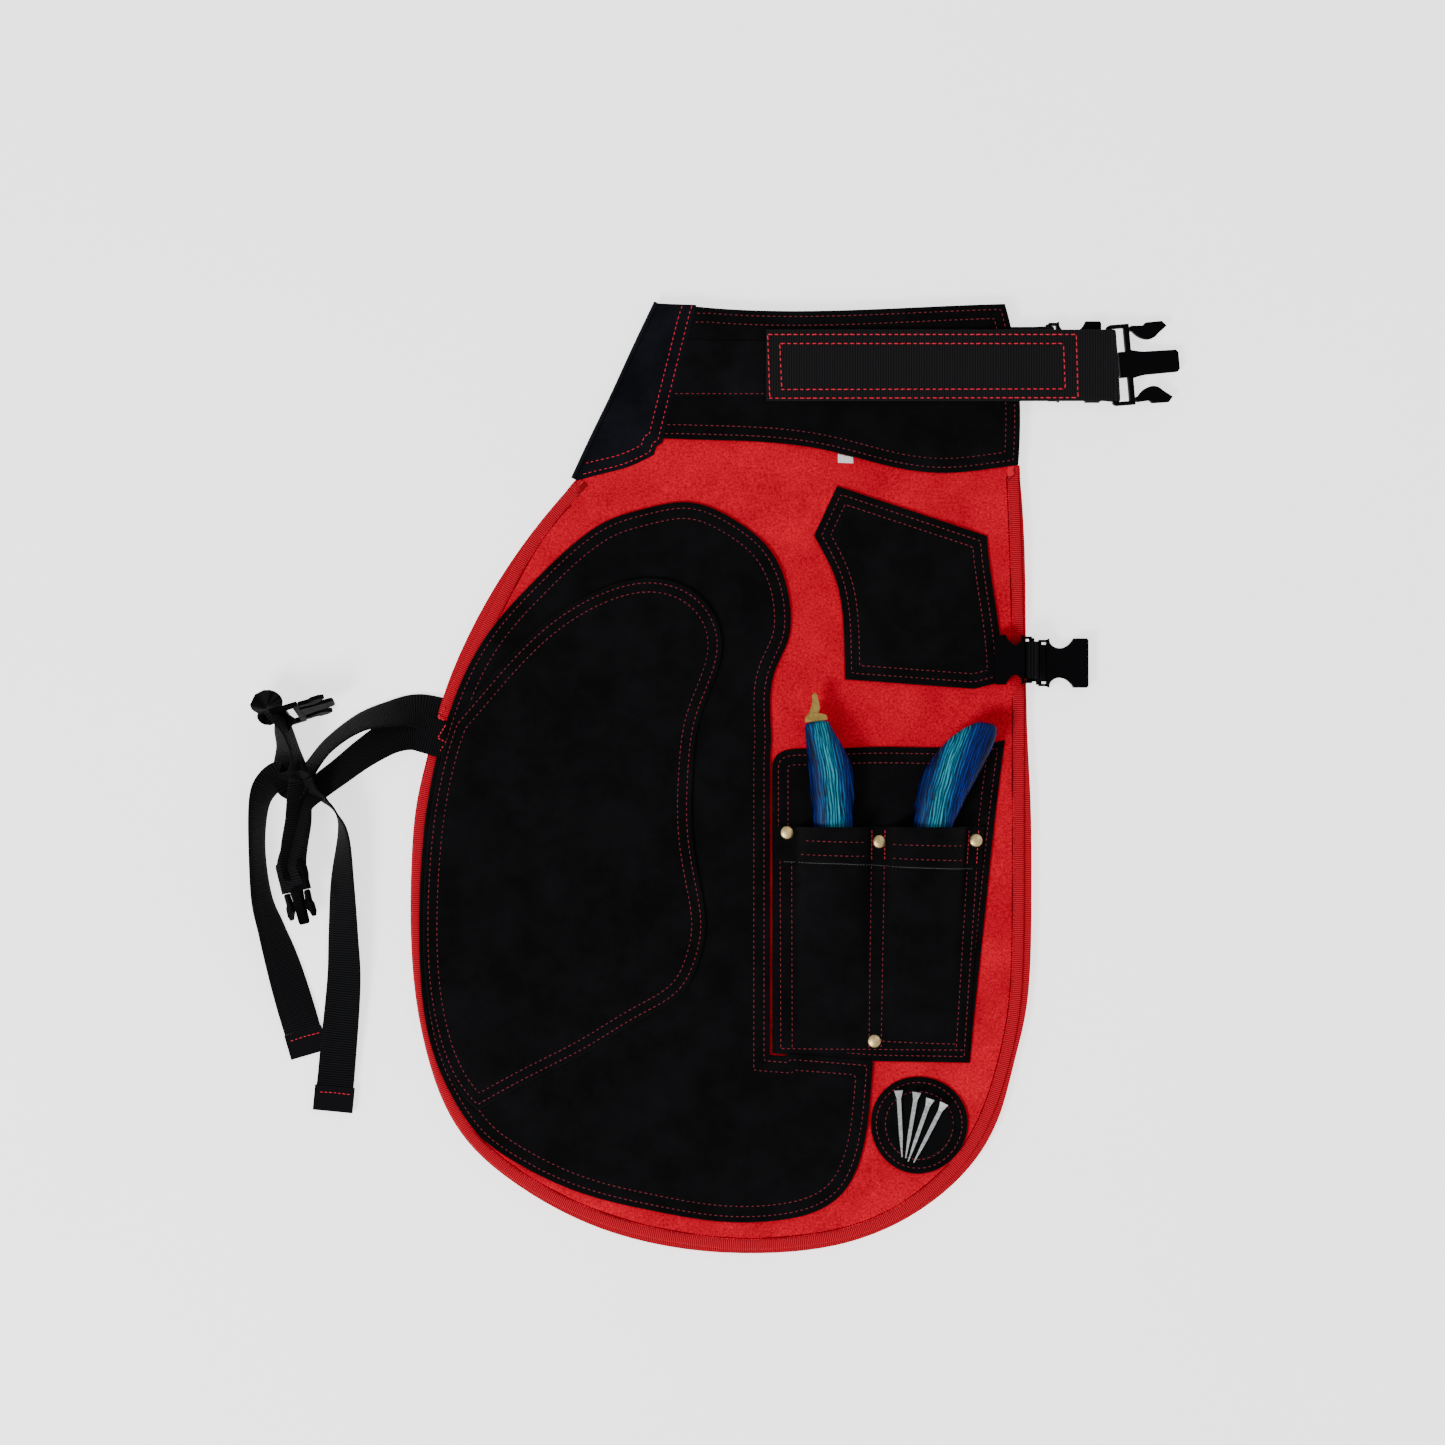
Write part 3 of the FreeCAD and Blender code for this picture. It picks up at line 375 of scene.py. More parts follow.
def nearest(points, line):
    """Distance from each point to a line, and how far along the line its closest place is."""
    line = np.asarray(line, float)
    legs = np.linalg.norm(np.diff(line, axis=0), axis=1)
    parts = [a + (b - a) * t for a, b, size in zip(line[:-1], line[1:], legs)
             for t in np.arange(0, 1, 1 / max(1, math.ceil(size / (2.5 * MM))))]
    line = np.vstack([parts, line[-1:]])
    run = run_along(line)
    tree = KDTree(len(line))
    for k, (x, y) in enumerate(line):
        tree.insert((x, y, 0), k)
    tree.balance()
    pick = np.array([tree.find((x, y, 0))[1] for x, y in points[:, :2]])
    far, at = np.full(len(points), 1e9), np.zeros(len(points))
    for back in (0, 1):
        start = np.clip(pick - back, 0, len(line) - 2)
        a, leg = line[start], line[start + 1] - line[start]
        size = np.maximum((leg ** 2).sum(1), 1e-16)
        t = np.clip(((points[:, :2] - a) * leg).sum(1) / size, 0, 1)
        d = np.linalg.norm(points[:, :2] - a - t[:, None] * leg, axis=1)
        closer = d < far
        far[closer] = d[closer]
        at[closer] = (run[start] + t * np.sqrt(size))[closer]
    return far, at


def inside(points, loop):
    """Which points lie inside a loop, by counting its crossings to their right."""
    x, y = points[:, 0][:, None], points[:, 1][:, None]
    a, b = loop, np.roll(loop, -1, 0)
    cross = (a[:, 1] > y) != (b[:, 1] > y)
    with np.errstate(divide="ignore", invalid="ignore"):
        at = a[:, 0] + (y - a[:, 1]) * (b[:, 0] - a[:, 0]) / (b[:, 1] - a[:, 1])
    return (cross & (x < at)).sum(1) % 2 == 1


def ripple(points, size, seed):
    """Smooth, low swells over a surface, from -1 to 1."""
    x, y = points[:, 0] / size, points[:, 1] / size
    total = np.zeros(len(points))
    for k in range(5):
        a = 1.9 * k + seed
        total += np.sin(x * math.cos(a) * (1 + 0.37 * k) + y * math.sin(a) * (1 + 0.29 * k) + 2.1 * a)
    return total / 3.2


# ---------------------------------------------------------------- mesh building
def new_piece(name, points, faces, material, body=None, stands_for=(), smooth=True, weave=None):
    """A mesh object that rides a body; weave is its along-and-across space for woven textures."""
    mesh = bpy.data.meshes.new(name)
    mesh.from_pydata([tuple(p) for p in points], [], [tuple(int(v) for v in f) for f in faces])
    mesh.update()
    piece = bpy.data.objects.new(name, mesh)
    bpy.context.scene.collection.objects.link(piece)
    mesh.materials.append(material)
    if smooth:
        mesh.polygons.foreach_set("use_smooth", [True] * len(mesh.polygons))
    if weave is not None:
        attribute = mesh.attributes.new("weave", "FLOAT_VECTOR", "POINT")
        attribute.data.foreach_set("vector", np.asarray(weave, np.float32).ravel())
    if body:
        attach(piece, body)
    if stands_for:
        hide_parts(*stands_for)
    return piece


def triangles(loop, more):
    """Triangles that fill a loop, through some more points inside it."""
    points = [Vector(p) for p in np.vstack([loop, more])]
    flat, _, faces, *_ = delaunay_2d_cdt(points, [], [list(range(len(loop)))], 1, 1e-7)
    return np.array([tuple(v) for v in flat]), faces


def cloth(name, loop, level, thick, material, body, stands_for, up=1, rows=(), step=5.0,
          swell=0.25, seed=1.0, groove=0.35, edge=0.9, shape=None, weave_line=None, pucker=0.0):
    """A flat piece of leather or cloth with rounded edges and its stitch rows pulled in.

    level is its inner face, up is 1 or -1 for the way its outer face looks, rows are the stitch
    lines, and shape adds to the outer and inner faces' height.
    """
    loop = along(loop, 2.0 * MM, True)
    rounding = min(edge, 0.8 * thick / MM) * MM
    rings = [inward(loop, 0.3 * rounding), inward(loop, rounding), inward(loop, 1.9 * rounding)]
    lined = []
    for row in rows:
        spaced = along(row, 2.0 * MM)
        legs = np.gradient(spaced, axis=0)
        side = left_of(legs / np.maximum(np.linalg.norm(legs, axis=1)[:, None], 1e-9))
        lined += [spaced, spaced + 1.5 * MM * side, spaced - 1.5 * MM * side]
    low, high = loop.min(0), loop.max(0)
    xs = np.arange(low[0], high[0], step * MM)
    ys = np.arange(low[1], high[1], step * MM)
    grid = np.array([(x + (0.5 * step * MM if k % 2 else 0), y) for k, y in enumerate(ys) for x in xs])
    closed = close(loop)
    far, _ = nearest(grid, closed)
    grid = grid[inside(grid, loop) & (far > 2.4 * rounding)]
    if lined:
        joined = np.vstack(lined)
        kept = joined[inside(joined, loop) & (nearest(joined, closed)[0] > 2.1 * rounding)]
        thin = {}
        for p in kept:
            thin.setdefault(tuple(np.round(p / (1.1 * MM)).astype(int)), p)
        kept = np.array(list(thin.values()))
        far_row = np.min([nearest(grid, row)[0] for row in rows], axis=0)
        grid = grid[far_row > 2.6 * MM]
    else:
        kept = np.empty((0, 2))
    flat, faces = triangles(loop, np.vstack([*rings, kept, grid]))
    far, _ = nearest(flat, closed)
    outer = np.full(len(flat), thick)
    if up < 0:
        swell = 0.0
    outer += swell * MM * ripple(flat, 34 * MM, seed) * np.clip(far / (6 * MM), 0, 1)
    if rows:
        from_row = np.min([nearest(flat, row)[0] for row in rows], axis=0)
        outer -= groove * MM * np.exp(-((from_row / (1.3 * MM)) ** 2))
    if pucker:
        outer += pucker * MM * ripple(flat, 3.1 * MM, seed + 3) * np.exp(-((far / (9 * MM)) ** 2))
    inner_share = np.clip(far / rounding, 0, 1)
    outer -= 0.85 * rounding * (1 - np.sqrt(1 - (1 - inner_share) ** 2))
    lift = shape(flat) if shape is not None else np.zeros(len(flat))
    top = np.column_stack([flat, level + up * (outer + lift)])
    base = np.column_stack([flat, level + up * lift])
    count = len(flat)
    upper = [tuple(f) if up > 0 else tuple(f)[::-1] for f in faces]
    lower = [tuple(v + count for v in f)[::-1] for f in upper]
    edges = {(a, b): True for f in upper for a, b in zip(f, f[1:] + f[:1])}
    walls = [(b, a, a + count, b + count) for a, b in edges if (b, a) not in edges]
    weave = None
    if weave_line is not None:
        across, run = nearest(flat, weave_line)
        weave = np.tile(np.column_stack([run, across, np.zeros(count)]), (2, 1))
    points = np.vstack([top, base])
    piece = new_piece(name, points, upper + lower + walls, material, body, stands_for, weave=weave)
    sharpen(piece, 60)
    return piece


def sharpen(piece, angle):
    """Shades smooth over gentle turns only."""
    mesh = piece.data
    made = bmesh.new()
    made.from_mesh(mesh)
    limit = math.radians(angle)
    for e in made.edges:
        e.smooth = not (len(e.link_faces) == 2 and e.calc_face_angle(0) > limit)
    made.to_mesh(mesh)
    made.free()


def tube_faces(first, rows, around):
    """Quads between rows of points that each go once around."""
    return [(first + j * around + k, first + j * around + (k + 1) % around,
             first + (j + 1) * around + (k + 1) % around, first + (j + 1) * around + k)
            for j in range(rows - 1) for k in range(around)]


def solid_tube(name, points, around, material, body, stands_for, weave, angle):
    """A closed piece from rows of points that each go once around."""
    ends = [tuple(range(around))[::-1], tuple(range(len(points) - around, len(points)))]
    faces = tube_faces(0, len(points) // around, around) + ends
    piece = new_piece(name, points, faces, material, body, stands_for, weave=weave)
    face_outwards(piece, angle)
    return piece


def face_outwards(piece, angle, weld=False):
    made = bmesh.new()
    made.from_mesh(piece.data)
    if weld:
        bmesh.ops.remove_doubles(made, verts=made.verts, dist=1e-6)
    bmesh.ops.recalc_face_normals(made, faces=made.faces)
    made.to_mesh(piece.data)
    made.free()
    sharpen(piece, angle)


def stitches(name, rows, height, material, body, up=1, pitch=3.6, length=2.4, thick=0.3):
    """Thread that shows on a surface: short beads in rows, each end going down its hole. The same beads, set
    close, also make strips of painted shade and painted highlight.
    """
    points, faces = [], []
    sides, slices, sink = 6, (-1.0, -0.72, -0.25, 0.25, 0.72, 1.0), 0.12
    for row in rows:
        run = run_along(row)
        for at in np.arange(0.5 * pitch * MM, run[-1], pitch * MM):
            span = length * MM * 0.5 * rng.uniform(0.72, 1.12)
            ends = [[np.interp(at + d, run, row[:, k]) for k in (0, 1)] for d in (-span, span)]
            a, b = np.array(ends)
            heading = b - a
            size = np.linalg.norm(heading)
            if size < 0.3 * span:
                continue
            heading /= size
            lean = math.radians(rng.normal(0, 4))
            heading = np.array([
                heading[0] * math.cos(lean) - heading[1] * math.sin(lean),
                heading[0] * math.sin(lean) + heading[1] * math.cos(lean),
            ])
            side = np.array([-heading[1], heading[0]])
            middle = (a + b) / 2
            level = height(middle[None, :])[0]
            first = len(points)
            for s in slices:
                bow = math.sqrt(max(0.0, 1 - s * s))
                radius = thick * MM * (0.45 + 0.55 * bow)
                drop = thick * MM * 1.9 * s * s * s * s - (thick - sink) * MM * 0.6
                for k in range(sides):
                    a0 = 2 * math.pi * k / sides
                    xy = middle + heading * s * size / 2 + side * radius * math.cos(a0)
                    points.append((*xy, level + up * (radius * math.sin(a0) * 0.9 - drop)))
            quads = tube_faces(first, len(slices), sides)
            faces += quads if up < 0 else [quad[::-1] for quad in quads]
    return new_piece(name, points, faces, material, body)


def level_of(z):
    """A flat surface's height function."""
    return lambda points: np.full(len(points), z)


def curve(points, count):
    """A smooth line through control points of any dimension, at evenly spread places."""
    control = np.array(points, float)
    padded = np.vstack([2 * control[0] - control[1], control, 2 * control[-1] - control[-2]])
    out = []
    spans = len(control) - 1
    for t in np.linspace(0, spans, count):
        k = min(int(t), spans - 1)
        u = t - k
        p0, p1, p2, p3 = padded[k:k + 4]
        out.append(0.5 * (2 * p1 + (p2 - p0) * u + (2 * p0 - 5 * p1 + 4 * p2 - p3) * u * u
                          + (3 * p1 - p0 - 3 * p2 + p3) * u ** 3))
    return np.array(out)


def ribbon(name, centre, side, half, thick, material, body=None, stands_for=()):
    """Woven webbing along a centre line; side is the unit direction across it at each point."""
    centre, side = np.asarray(centre), np.asarray(side)
    heading = unit(np.gradient(centre, axis=0))
    side = unit(side - (side * heading).sum(1)[:, None] * heading)
    normal = np.cross(heading, side)
    t = thick / 2
    section = [(-1, -0.35), (-1, 0.35), (-0.975, 0.8), (-0.93, 1), (-0.5, 1.1), (0, 1.14), (0.5, 1.1),
               (0.93, 1),
               (0.975, 0.8), (1, 0.35), (1, -0.35), (0.975, -0.8),
               (0.93, -1), (0.5, -1), (0, -1), (-0.5, -1), (-0.93, -1), (-0.975, -0.8)]
    run = run_along(centre)
    points, weave = [], []
    for k in range(len(centre)):
        for a, b in section:
            points.append(centre[k] + side[k] * a * half + normal[k] * b * t)
            weave.append((run[k], a * half, b * t))
    return solid_tube(name, points, len(section), material, body, stands_for, weave, 50)


def lathe(name, profile, centre, material, body, up, stands_for):
    """A round piece from its profile of (radius, height) in millimetres."""
    points, faces = [], []
    n, turns = len(profile), 72
    for k in range(turns):
        a = 2 * math.pi * k / turns
        for r, z in profile:
            points.append((centre[0] + r * MM * math.cos(a), centre[1] + r * MM * math.sin(a),
                           centre[2] + up * z * MM))
    for k in range(turns):
        m = (k + 1) % turns
        for j in range(n - 1):
            quad = (k * n + j, m * n + j, m * n + j + 1, k * n + j + 1)
            faces.append(quad[::-1] if up > 0 else quad)
    piece = new_piece(name, points, faces, material, body, stands_for)
    face_outwards(piece, 50, weld=True)
    return piece


def islands(node):
    """Lowest and highest corner of each separate solid in a CAD node."""
    made = bmesh.new()
    made.from_mesh(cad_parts[node].data)
    bmesh.ops.remove_doubles(made, verts=made.verts, dist=1e-6)
    left, found = set(made.verts), []
    while left:
        seed = left.pop()
        group, open_ends = [seed], [seed]
        while open_ends:
            for e in open_ends.pop().link_edges:
                for v in e.verts:
                    if v in left:
                        left.discard(v)
                        group.append(v)
                        open_ends.append(v)
        co = np.array([v.co for v in group])
        found.append((co.min(0), co.max(0)))
    made.free()
    return found


def dress(node, material, width=0.45):
    """A CAD node that is shown as it is, with softened edges."""
    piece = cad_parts[node]
    piece.data.materials.clear()
    piece.data.materials.append(material)
    modifier = piece.modifiers.new("soft_edges", "BEVEL")
    modifier.width = width * MM
    modifier.segments = 3
    modifier.limit_method = "ANGLE"
    modifier.angle_limit = math.radians(35)
    return piece


# ---------------------------------------------------------------- camera, light and floor
def camera():
    """Straight above, through a long lens, a little to the left of the apron's middle."""
    data = bpy.data.cameras.new("camera")
    data.lens = 90
    data.sensor_width = 36
    data.clip_end = 20
    seen = bpy.data.objects.new("camera", data)
    bpy.context.scene.collection.objects.link(seen)
    seen.location = (-0.0487, 0.0373, 2.4175)
    bpy.context.scene.camera = seen


def area_light(name, spot, size, power):
    """A round soft light that points at the middle of the floor."""
    data = bpy.data.lights.new(name, "AREA")
    data.shape = "DISK"
    data.size = size
    data.energy = power
    lamp = bpy.data.objects.new(name, data)
    bpy.context.scene.collection.objects.link(lamp)
    lamp.location = spot
    lamp.rotation_mode = "QUATERNION"
    lamp.rotation_quaternion = (-Vector(spot)).to_track_quat("-Z", "Y")


def studio():
    """A pale paper floor that glows a little, a key light at the lower left and a weak fill."""
    world = bpy.data.worlds.new("studio")
    bpy.context.scene.world = world
    world.use_nodes = True
    world.node_tree.nodes["Background"].inputs["Color"].default_value = (1, 1, 1, 1)
    world.node_tree.nodes["Background"].inputs["Strength"].default_value = 0.7
    area_light("key", (-1.5, -1.3, 1.9), 0.9, 60)
    area_light("fill", (1.6, 1.2, 2.2), 1.8, 10)
    material, tree, principled = shader("floor_paper", (0.96, 0.96, 0.96), 0.9, specular=0.1)
    where = place(tree)
    tone = blended(tree, noise(tree, where, 3.0, 2.0), [(0.3, (0.93,) * 3), (0.7, (0.95,) * 3)])
    tree.links.new(tone, principled.inputs["Base Color"])
    tree.links.new(tone, principled.inputs["Emission Color"])
    principled.inputs["Emission Strength"].default_value = 1.7
    bump(tree, principled, noise(tree, where, 900.0, 2.0), 0.0001, 0.2)
    reach = 60
    points = [(-reach, -reach, 0), (reach, -reach, 0), (reach, reach, 0), (-reach, reach, 0)]
    new_piece("floor", points, [(0, 1, 2, 3)], material, smooth=False)


# ---------------------------------------------------------------- leaves
def inner_face(node, up):
    """The height of a flat node's inner face, and its thickness."""
    low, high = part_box(node)
    return (low.z if up > 0 else high.z), high.z - low.z


def patch(node, body, up, distances, swell, seed, loop=None, keep=None):
    """A sewn leather patch in place of its CAD node, with double rows of stitches."""
    loop = outline(node, up > 0) if loop is None else loop
    even = along(loop, ROW_STEP, True)
    rows = [close(inward(even, d * MM)) for d in distances]
    if keep is not None:
        rows = [stretch for row in rows for stretch in keep(row)]
    level, thick = inner_face(node, up)
    skin = cloth(f"{node}_skin", loop, level, thick, LEATHER, body, [node], up, rows,
                 swell=swell, seed=seed)
    stitches(f"{node}_stitches", rows, level_of(level + up * (thick - 0.25 * MM)), THREAD_DARK, body, up)


def outer_edge(side):
    """The leaf's own edge: the part of its binding's outline that is away from the canvas."""
    loop = along(outline(f"binding_{side}"), ROW_STEP, True)
    far, _ = nearest(loop, close(outline(f"canvas_{side}")))
    away = far > 3.6 * MM
    start = next(k for k in range(len(loop)) if away[k] and not away[k - 1])
    loop, away = np.roll(loop, -start, 0), np.roll(away, -start)
    return loop[away]


def open_parallel(line, distance):
    """An open line's parallel on its left."""
    return line + left_of(unit(np.gradient(line, axis=0))) * distance


def wrinkles(points):
    """Soft folds of the canvas below the yoke, beside the hip patch and by the hem."""
    x, y = points[:, 0] / MM, points[:, 1] / MM

    def fold(across, width, lengthwise, reach):
        return np.exp(-((across / width) ** 2)) * np.exp(-((lengthwise / reach) ** 2))

    below_yoke = fold(y - 186 + 0.06 * x, 9, x + 25, 60)
    second = fold(y - 171 - 0.05 * x, 7, x + 5, 40)
    beside = fold(x - 15 - 0.1 * y, 7, y - 80, 45)
    pull = 0.25 * ripple(points, 11 * MM, 4.0)
    hem = fold(x * 0.45 + y + 205 - 0.0016 * (x - 90) ** 2, 5, x - 128, 26)
    return MM * (1.7 * below_yoke + 1.3 * second + 1.0 * beside + 0.9 * hem + 1.3 * pull)


def seam_at(y):
    """Where the gusset's edge crosses the yoke."""
    return -69 * MM + (y - 315 * MM) * 0.2495


def split(row, keep):
    """The stretches of a closed row that are kept."""
    gaps = np.flatnonzero(~keep)
    if len(gaps) == 0:
        return [row]
    row, keep = np.roll(row[:-1], -gaps[0], 0), np.roll(keep[:-1], -gaps[0])
    stretches, current = [], []
    for point, kept in zip(row, keep):
        if kept:
            current.append(point)
        elif current:
            stretches.append(np.array(current))
            current = []
    if current:
        stretches.append(np.array(current))
    return [stretch for stretch in stretches if len(stretch) > 3]


def to_seam(row):
    """A row that runs on, level, to the gusset's edge at both of its ends."""
    first, last = row[0], row[-1]
    return np.vstack([[(seam_at(first[1]) + 2.5 * MM, first[1])], row,
                      [(seam_at(last[1]) + 2.5 * MM, last[1])]])


def run_on(line, corner, reach, shift):
    """Carries the points near a corner under the leather that covers it."""
    line[np.linalg.norm(line - corner, axis=1) < reach * MM] += np.array(shift) * MM


def leaf(side, up, body):
    """One leg panel: its canvas, binding, leather patches, yoke and loop strip."""
    canvas, binding = f"canvas_{side}", f"binding_{side}"
    front = outline("centre_gusset", up > 0)
    foot = front[front[:, 0].argmin()]
    back = outline(f"yoke_{side}", up > 0)
    corner = back[(back[:, 0] - back[:, 1]).argmax()]
    level, thick = inner_face(canvas, up)
    loop = along(outline(canvas, up > 0), ROW_STEP, True)
    beside, _ = nearest(loop, close(outline(binding)))
    outward = -left_of(unit(np.roll(loop, -1, 0) - np.roll(loop, 1, 0)))
    under = (beside < 0.6 * MM) | (loop[:, 1] < 290 * MM)
    loop += outward * np.where(under, 2.6 * MM, 0)[:, None]
    run_on(loop, foot, 13.5, (-0.8, 4.5))
    sheet = cloth(f"{canvas}_cloth", loop, level, thick, CANVAS, body, [canvas], up,
                  swell=0.0, edge=0.3, step=4.0 if up > 0 else 7.0, shape=wrinkles if up > 0 else None)
    edge = outer_edge(side)
    band = along(outline(binding, up > 0), ROW_STEP, True)
    run_on(band, foot, 10.5, (2.6, 3.6))
    run_on(band, corner, 9.2, (0, 6))
    row = open_parallel(edge, 6.2 * MM)
    tape = cloth(f"{binding}_tape", band, level - up * 0.1 * MM, thick + 0.55 * MM, BINDING, body,
                 [binding], up, [row], step=2.6, swell=0.12, edge=0.8, weave_line=edge, groove=0.3,
                 pucker=0.12)
    height = level_of(level + up * (thick + 0.22 * MM))
    stitches(f"{binding}_stitches", [row], height, THREAD_DEEP, body, up, pitch=3.4, length=2.3)
    # Not thread: a thin dark red strip beside the binding, painted shade of the seam's fold.
    crease_and_painted_shade = open_parallel(edge, 7.6 * MM)[6:-1]
    height = level_of(level + up * (thick - 0.12 * MM))
    stitches(f"{canvas}_crease", [crease_and_painted_shade], height, SEAM_PAINTED_SHADE, body, up, pitch=2.0, length=2.6, thick=0.34)
    thigh = along(outline(f"thigh_patch_{side}", up > 0), 2.0 * MM, True)
    notch = (thigh[:, 0] > -6 * MM) & (thigh[:, 0] < 50 * MM) & (np.abs(thigh[:, 1] + 184 * MM) < 6 * MM)
    thigh[notch, 1] += 2.2 * MM
    patch(f"thigh_patch_{side}", body, up, (4.0, 10.8), swell=0.3, seed=1.3, loop=thigh)
    patch(f"wear_panel_{side}", body, up, (3.2, 9.2), swell=0.3, seed=2.1)
    level, thick = inner_face(f"thigh_patch_{side}", up)
    tacks = [np.array(tack) * MM for tack in (
        [(-233.5, 47), (-238.5, 41), (-233, 38)],
        [(-233, 36), (-238.5, 27), (-232.5, 24)],
        [(-234.5, 22), (-238.5, 16)],
    )]
    height = level_of(level + up * (thick - 0.1 * MM))
    stitches(f"strap_tacks_{side}", tacks, height, THREAD_RED, body, up, pitch=2.6, length=2.2, thick=0.42)
    patch(f"hip_patch_{side}", body, up, (4.6, 10.0), swell=0.3, seed=3.7)
    patch(f"yoke_{side}", body, up, (3.7, 9.6), swell=0.35, seed=4.2,
          keep=lambda row: [to_seam(r) for r in split(row, row[:, 0] > seam_at(row[:, 1]) + 13 * MM)])
    loop_strip(f"loop_strip_{side}", up, body)


def loop_strip(node, up, body):
    """The loop-fastener strip on the yoke, from the gusset's edge to the back."""
    low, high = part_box(node)
    level, thick = inner_face(node, up)
    strip = along(outline(node, up > 0), 2 * MM, True)
    strip[:, 0] = np.maximum(strip[:, 0], seam_at(strip[:, 1]) + 1.8 * MM)
    start, row = seam_at(low.y) + 3 * MM, low.y + 2.5 * MM
    rows = [np.array([(start, row), (high.x - 2 * MM, row)])]
    tape = cloth(f"{node}_tape", strip, level, thick, LOOP_TAPE, body, [node], up, rows, edge=0.5, swell=0.1)
    stitches(f"{node}_stitches", rows, level_of(level + up * (thick - 0.15 * MM)), THREAD_DARK, body, up)


def gusset():
    """The centre front: one skin over the fold, from the upper leaf's seam to the lower one's."""
    low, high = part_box("centre_gusset")
    loop = along(outline("centre_gusset"), 2 * MM, True)
    top_end = loop[loop[:, 1].argmax()]
    foot = loop[loop[:, 0].argmin()]
    fold = np.array([top_end, foot])
    thick = 1.8 * MM
    direction = (foot - top_end) / np.linalg.norm(foot - top_end)
    outward = np.array([direction[1], -direction[0]])
    by_seam = loop[:, 0] > seam_at(loop[:, 1]) - 2.5 * MM
    loop[by_seam & (loop[:, 1] > 222 * MM), 0] += 3.0 * MM
    rows = []
    for d in (3.0, 9.6):
        row = close(inward(loop, d * MM))
        from_fold, _ = nearest(row, fold)
        from_top = top_end[1] - row[:, 1]
        for stretch in split(row, (from_fold > (1.08 * d + 0.3) * MM) & (from_top > (d + 2.5) * MM)):
            if stretch[0][1] < stretch[-1][1]:
                stretch = stretch[::-1]
            step = (stretch[-1] - stretch[-3]) / np.linalg.norm(stretch[-1] - stretch[-3]) * 0.5 * MM
            while nearest(stretch[-1:], fold)[0][0] > 2.2 * MM and len(stretch) < 400:
                stretch = np.vstack([stretch, stretch[-1] + step])
            crest = top_end[1] - 1.2 * MM
            rows.append(np.vstack([[(seam_at(crest) + (3.0 - d) * MM, crest)], stretch]))

    def over_yoke(points):
        """The skin climbs onto the yoke's edge."""
        gap = (seam_at(points[:, 1]) - points[:, 0]) / MM
        t = np.clip((17 - gap) / 13, 0, 1) * np.clip((points[:, 1] / MM - 216) / 8, 0, 1)
        return 1.75 * MM * t * t * (3 - 2 * t)

    made = []
    for part, level, up in (("upper", high.z - thick, 1), ("lower", low.z + thick, -1)):
        piece = cloth(f"gusset_{part}", loop, level, thick, GUSSET_LEATHER, None, (), up, rows,
                      swell=0.25, edge=0.5, step=4.0, shape=over_yoke)
        made.append(piece)
    count, arcs = 60, 15
    middle, reach = (low.z + high.z) / 2, (high.z - low.z) / 2
    points = []
    for k in range(count):
        share = k / (count - 1)
        spot = top_end + (foot - top_end) * share
        swell = 1 + 0.12 * math.sin(9 * share) * math.sin(math.pi * share)
        for j in range(arcs):
            a = -math.pi / 2 + math.pi * j / (arcs - 1)
            out = reach * math.cos(a) * swell
            points.append((*(spot + outward * out), middle + reach * math.sin(a) * 0.985))
    corners = (0, 1, arcs + 1, arcs)
    faces = [tuple(k * arcs + j + c for c in corners) for k in range(count - 1) for j in range(arcs - 1)]
    turned = new_piece("gusset_fold", points, faces, GUSSET_LEATHER)
    thicken = turned.modifiers.new("skin", "SOLIDIFY")
    thicken.thickness = 1.2 * MM
    thicken.offset = -1
    bpy.context.view_layer.update()
    shown = bpy.data.meshes.new_from_object(turned.evaluated_get(bpy.context.evaluated_depsgraph_get()))
    turned.modifiers.clear()
    turned.data = shown
    for part in made + [turned]:
        part.select_set(True)
    with bpy.context.temp_override(active_object=made[0], selected_editable_objects=made + [turned]):
        bpy.ops.object.join()
    skin = made[0]
    skin.name = "centre_gusset_skin"
    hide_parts("centre_gusset")
    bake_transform(skin)
    stitches("gusset_stitches_left", rows, lambda points: high.z - 0.2 * MM + over_yoke(points),
             THREAD_RED, "left_leaf", 1)
    stitches("gusset_stitches_right", rows, lambda points: low.z + 0.2 * MM - over_yoke(points),
             THREAD_RED, "right_leaf", -1)


# ---------------------------------------------------------------- pocket, magnet, tools
def hump_height(points):
    """How far the pocket's front stands off its back: a hump over each compartment."""
    x, y = points[:, 0] / MM, points[:, 1] / MM
    share = np.clip((-32.0 - y) / 146.0, 0, 1)
    top = (19.0 * (1 - share) + 3.2 * share) - 1.2

    def hump(u):
        return np.interp(np.clip(u, 0, 1), [0.0, 0.05, 0.14, 0.3, 0.5, 0.7, 0.86, 0.95, 1.0],
                         [0.0, 0.42, 0.78, 0.96, 1.0, 0.96, 0.78, 0.42, 0.0])

    total = np.zeros(len(points))
    for start, end in ((0.0 + 1.2, 50 - 2 * share - 1.2), (61.5 - 3.5 * share + 1.2, 115 - 9 * share - 1.2)):
        u = (x - start) / (end - start)
        h = hump(u)
        smooth = hump(u - 0.02) * 0.5 + hump(u + 0.02) * 0.5
        total += np.where((u > 0) & (u < 1), 0.4 * h + 0.6 * np.minimum(smooth, h + 0.05), 0) * top
    fade = np.clip((y + 182.0) / 5.0, 0, 1)
    return total * MM * fade


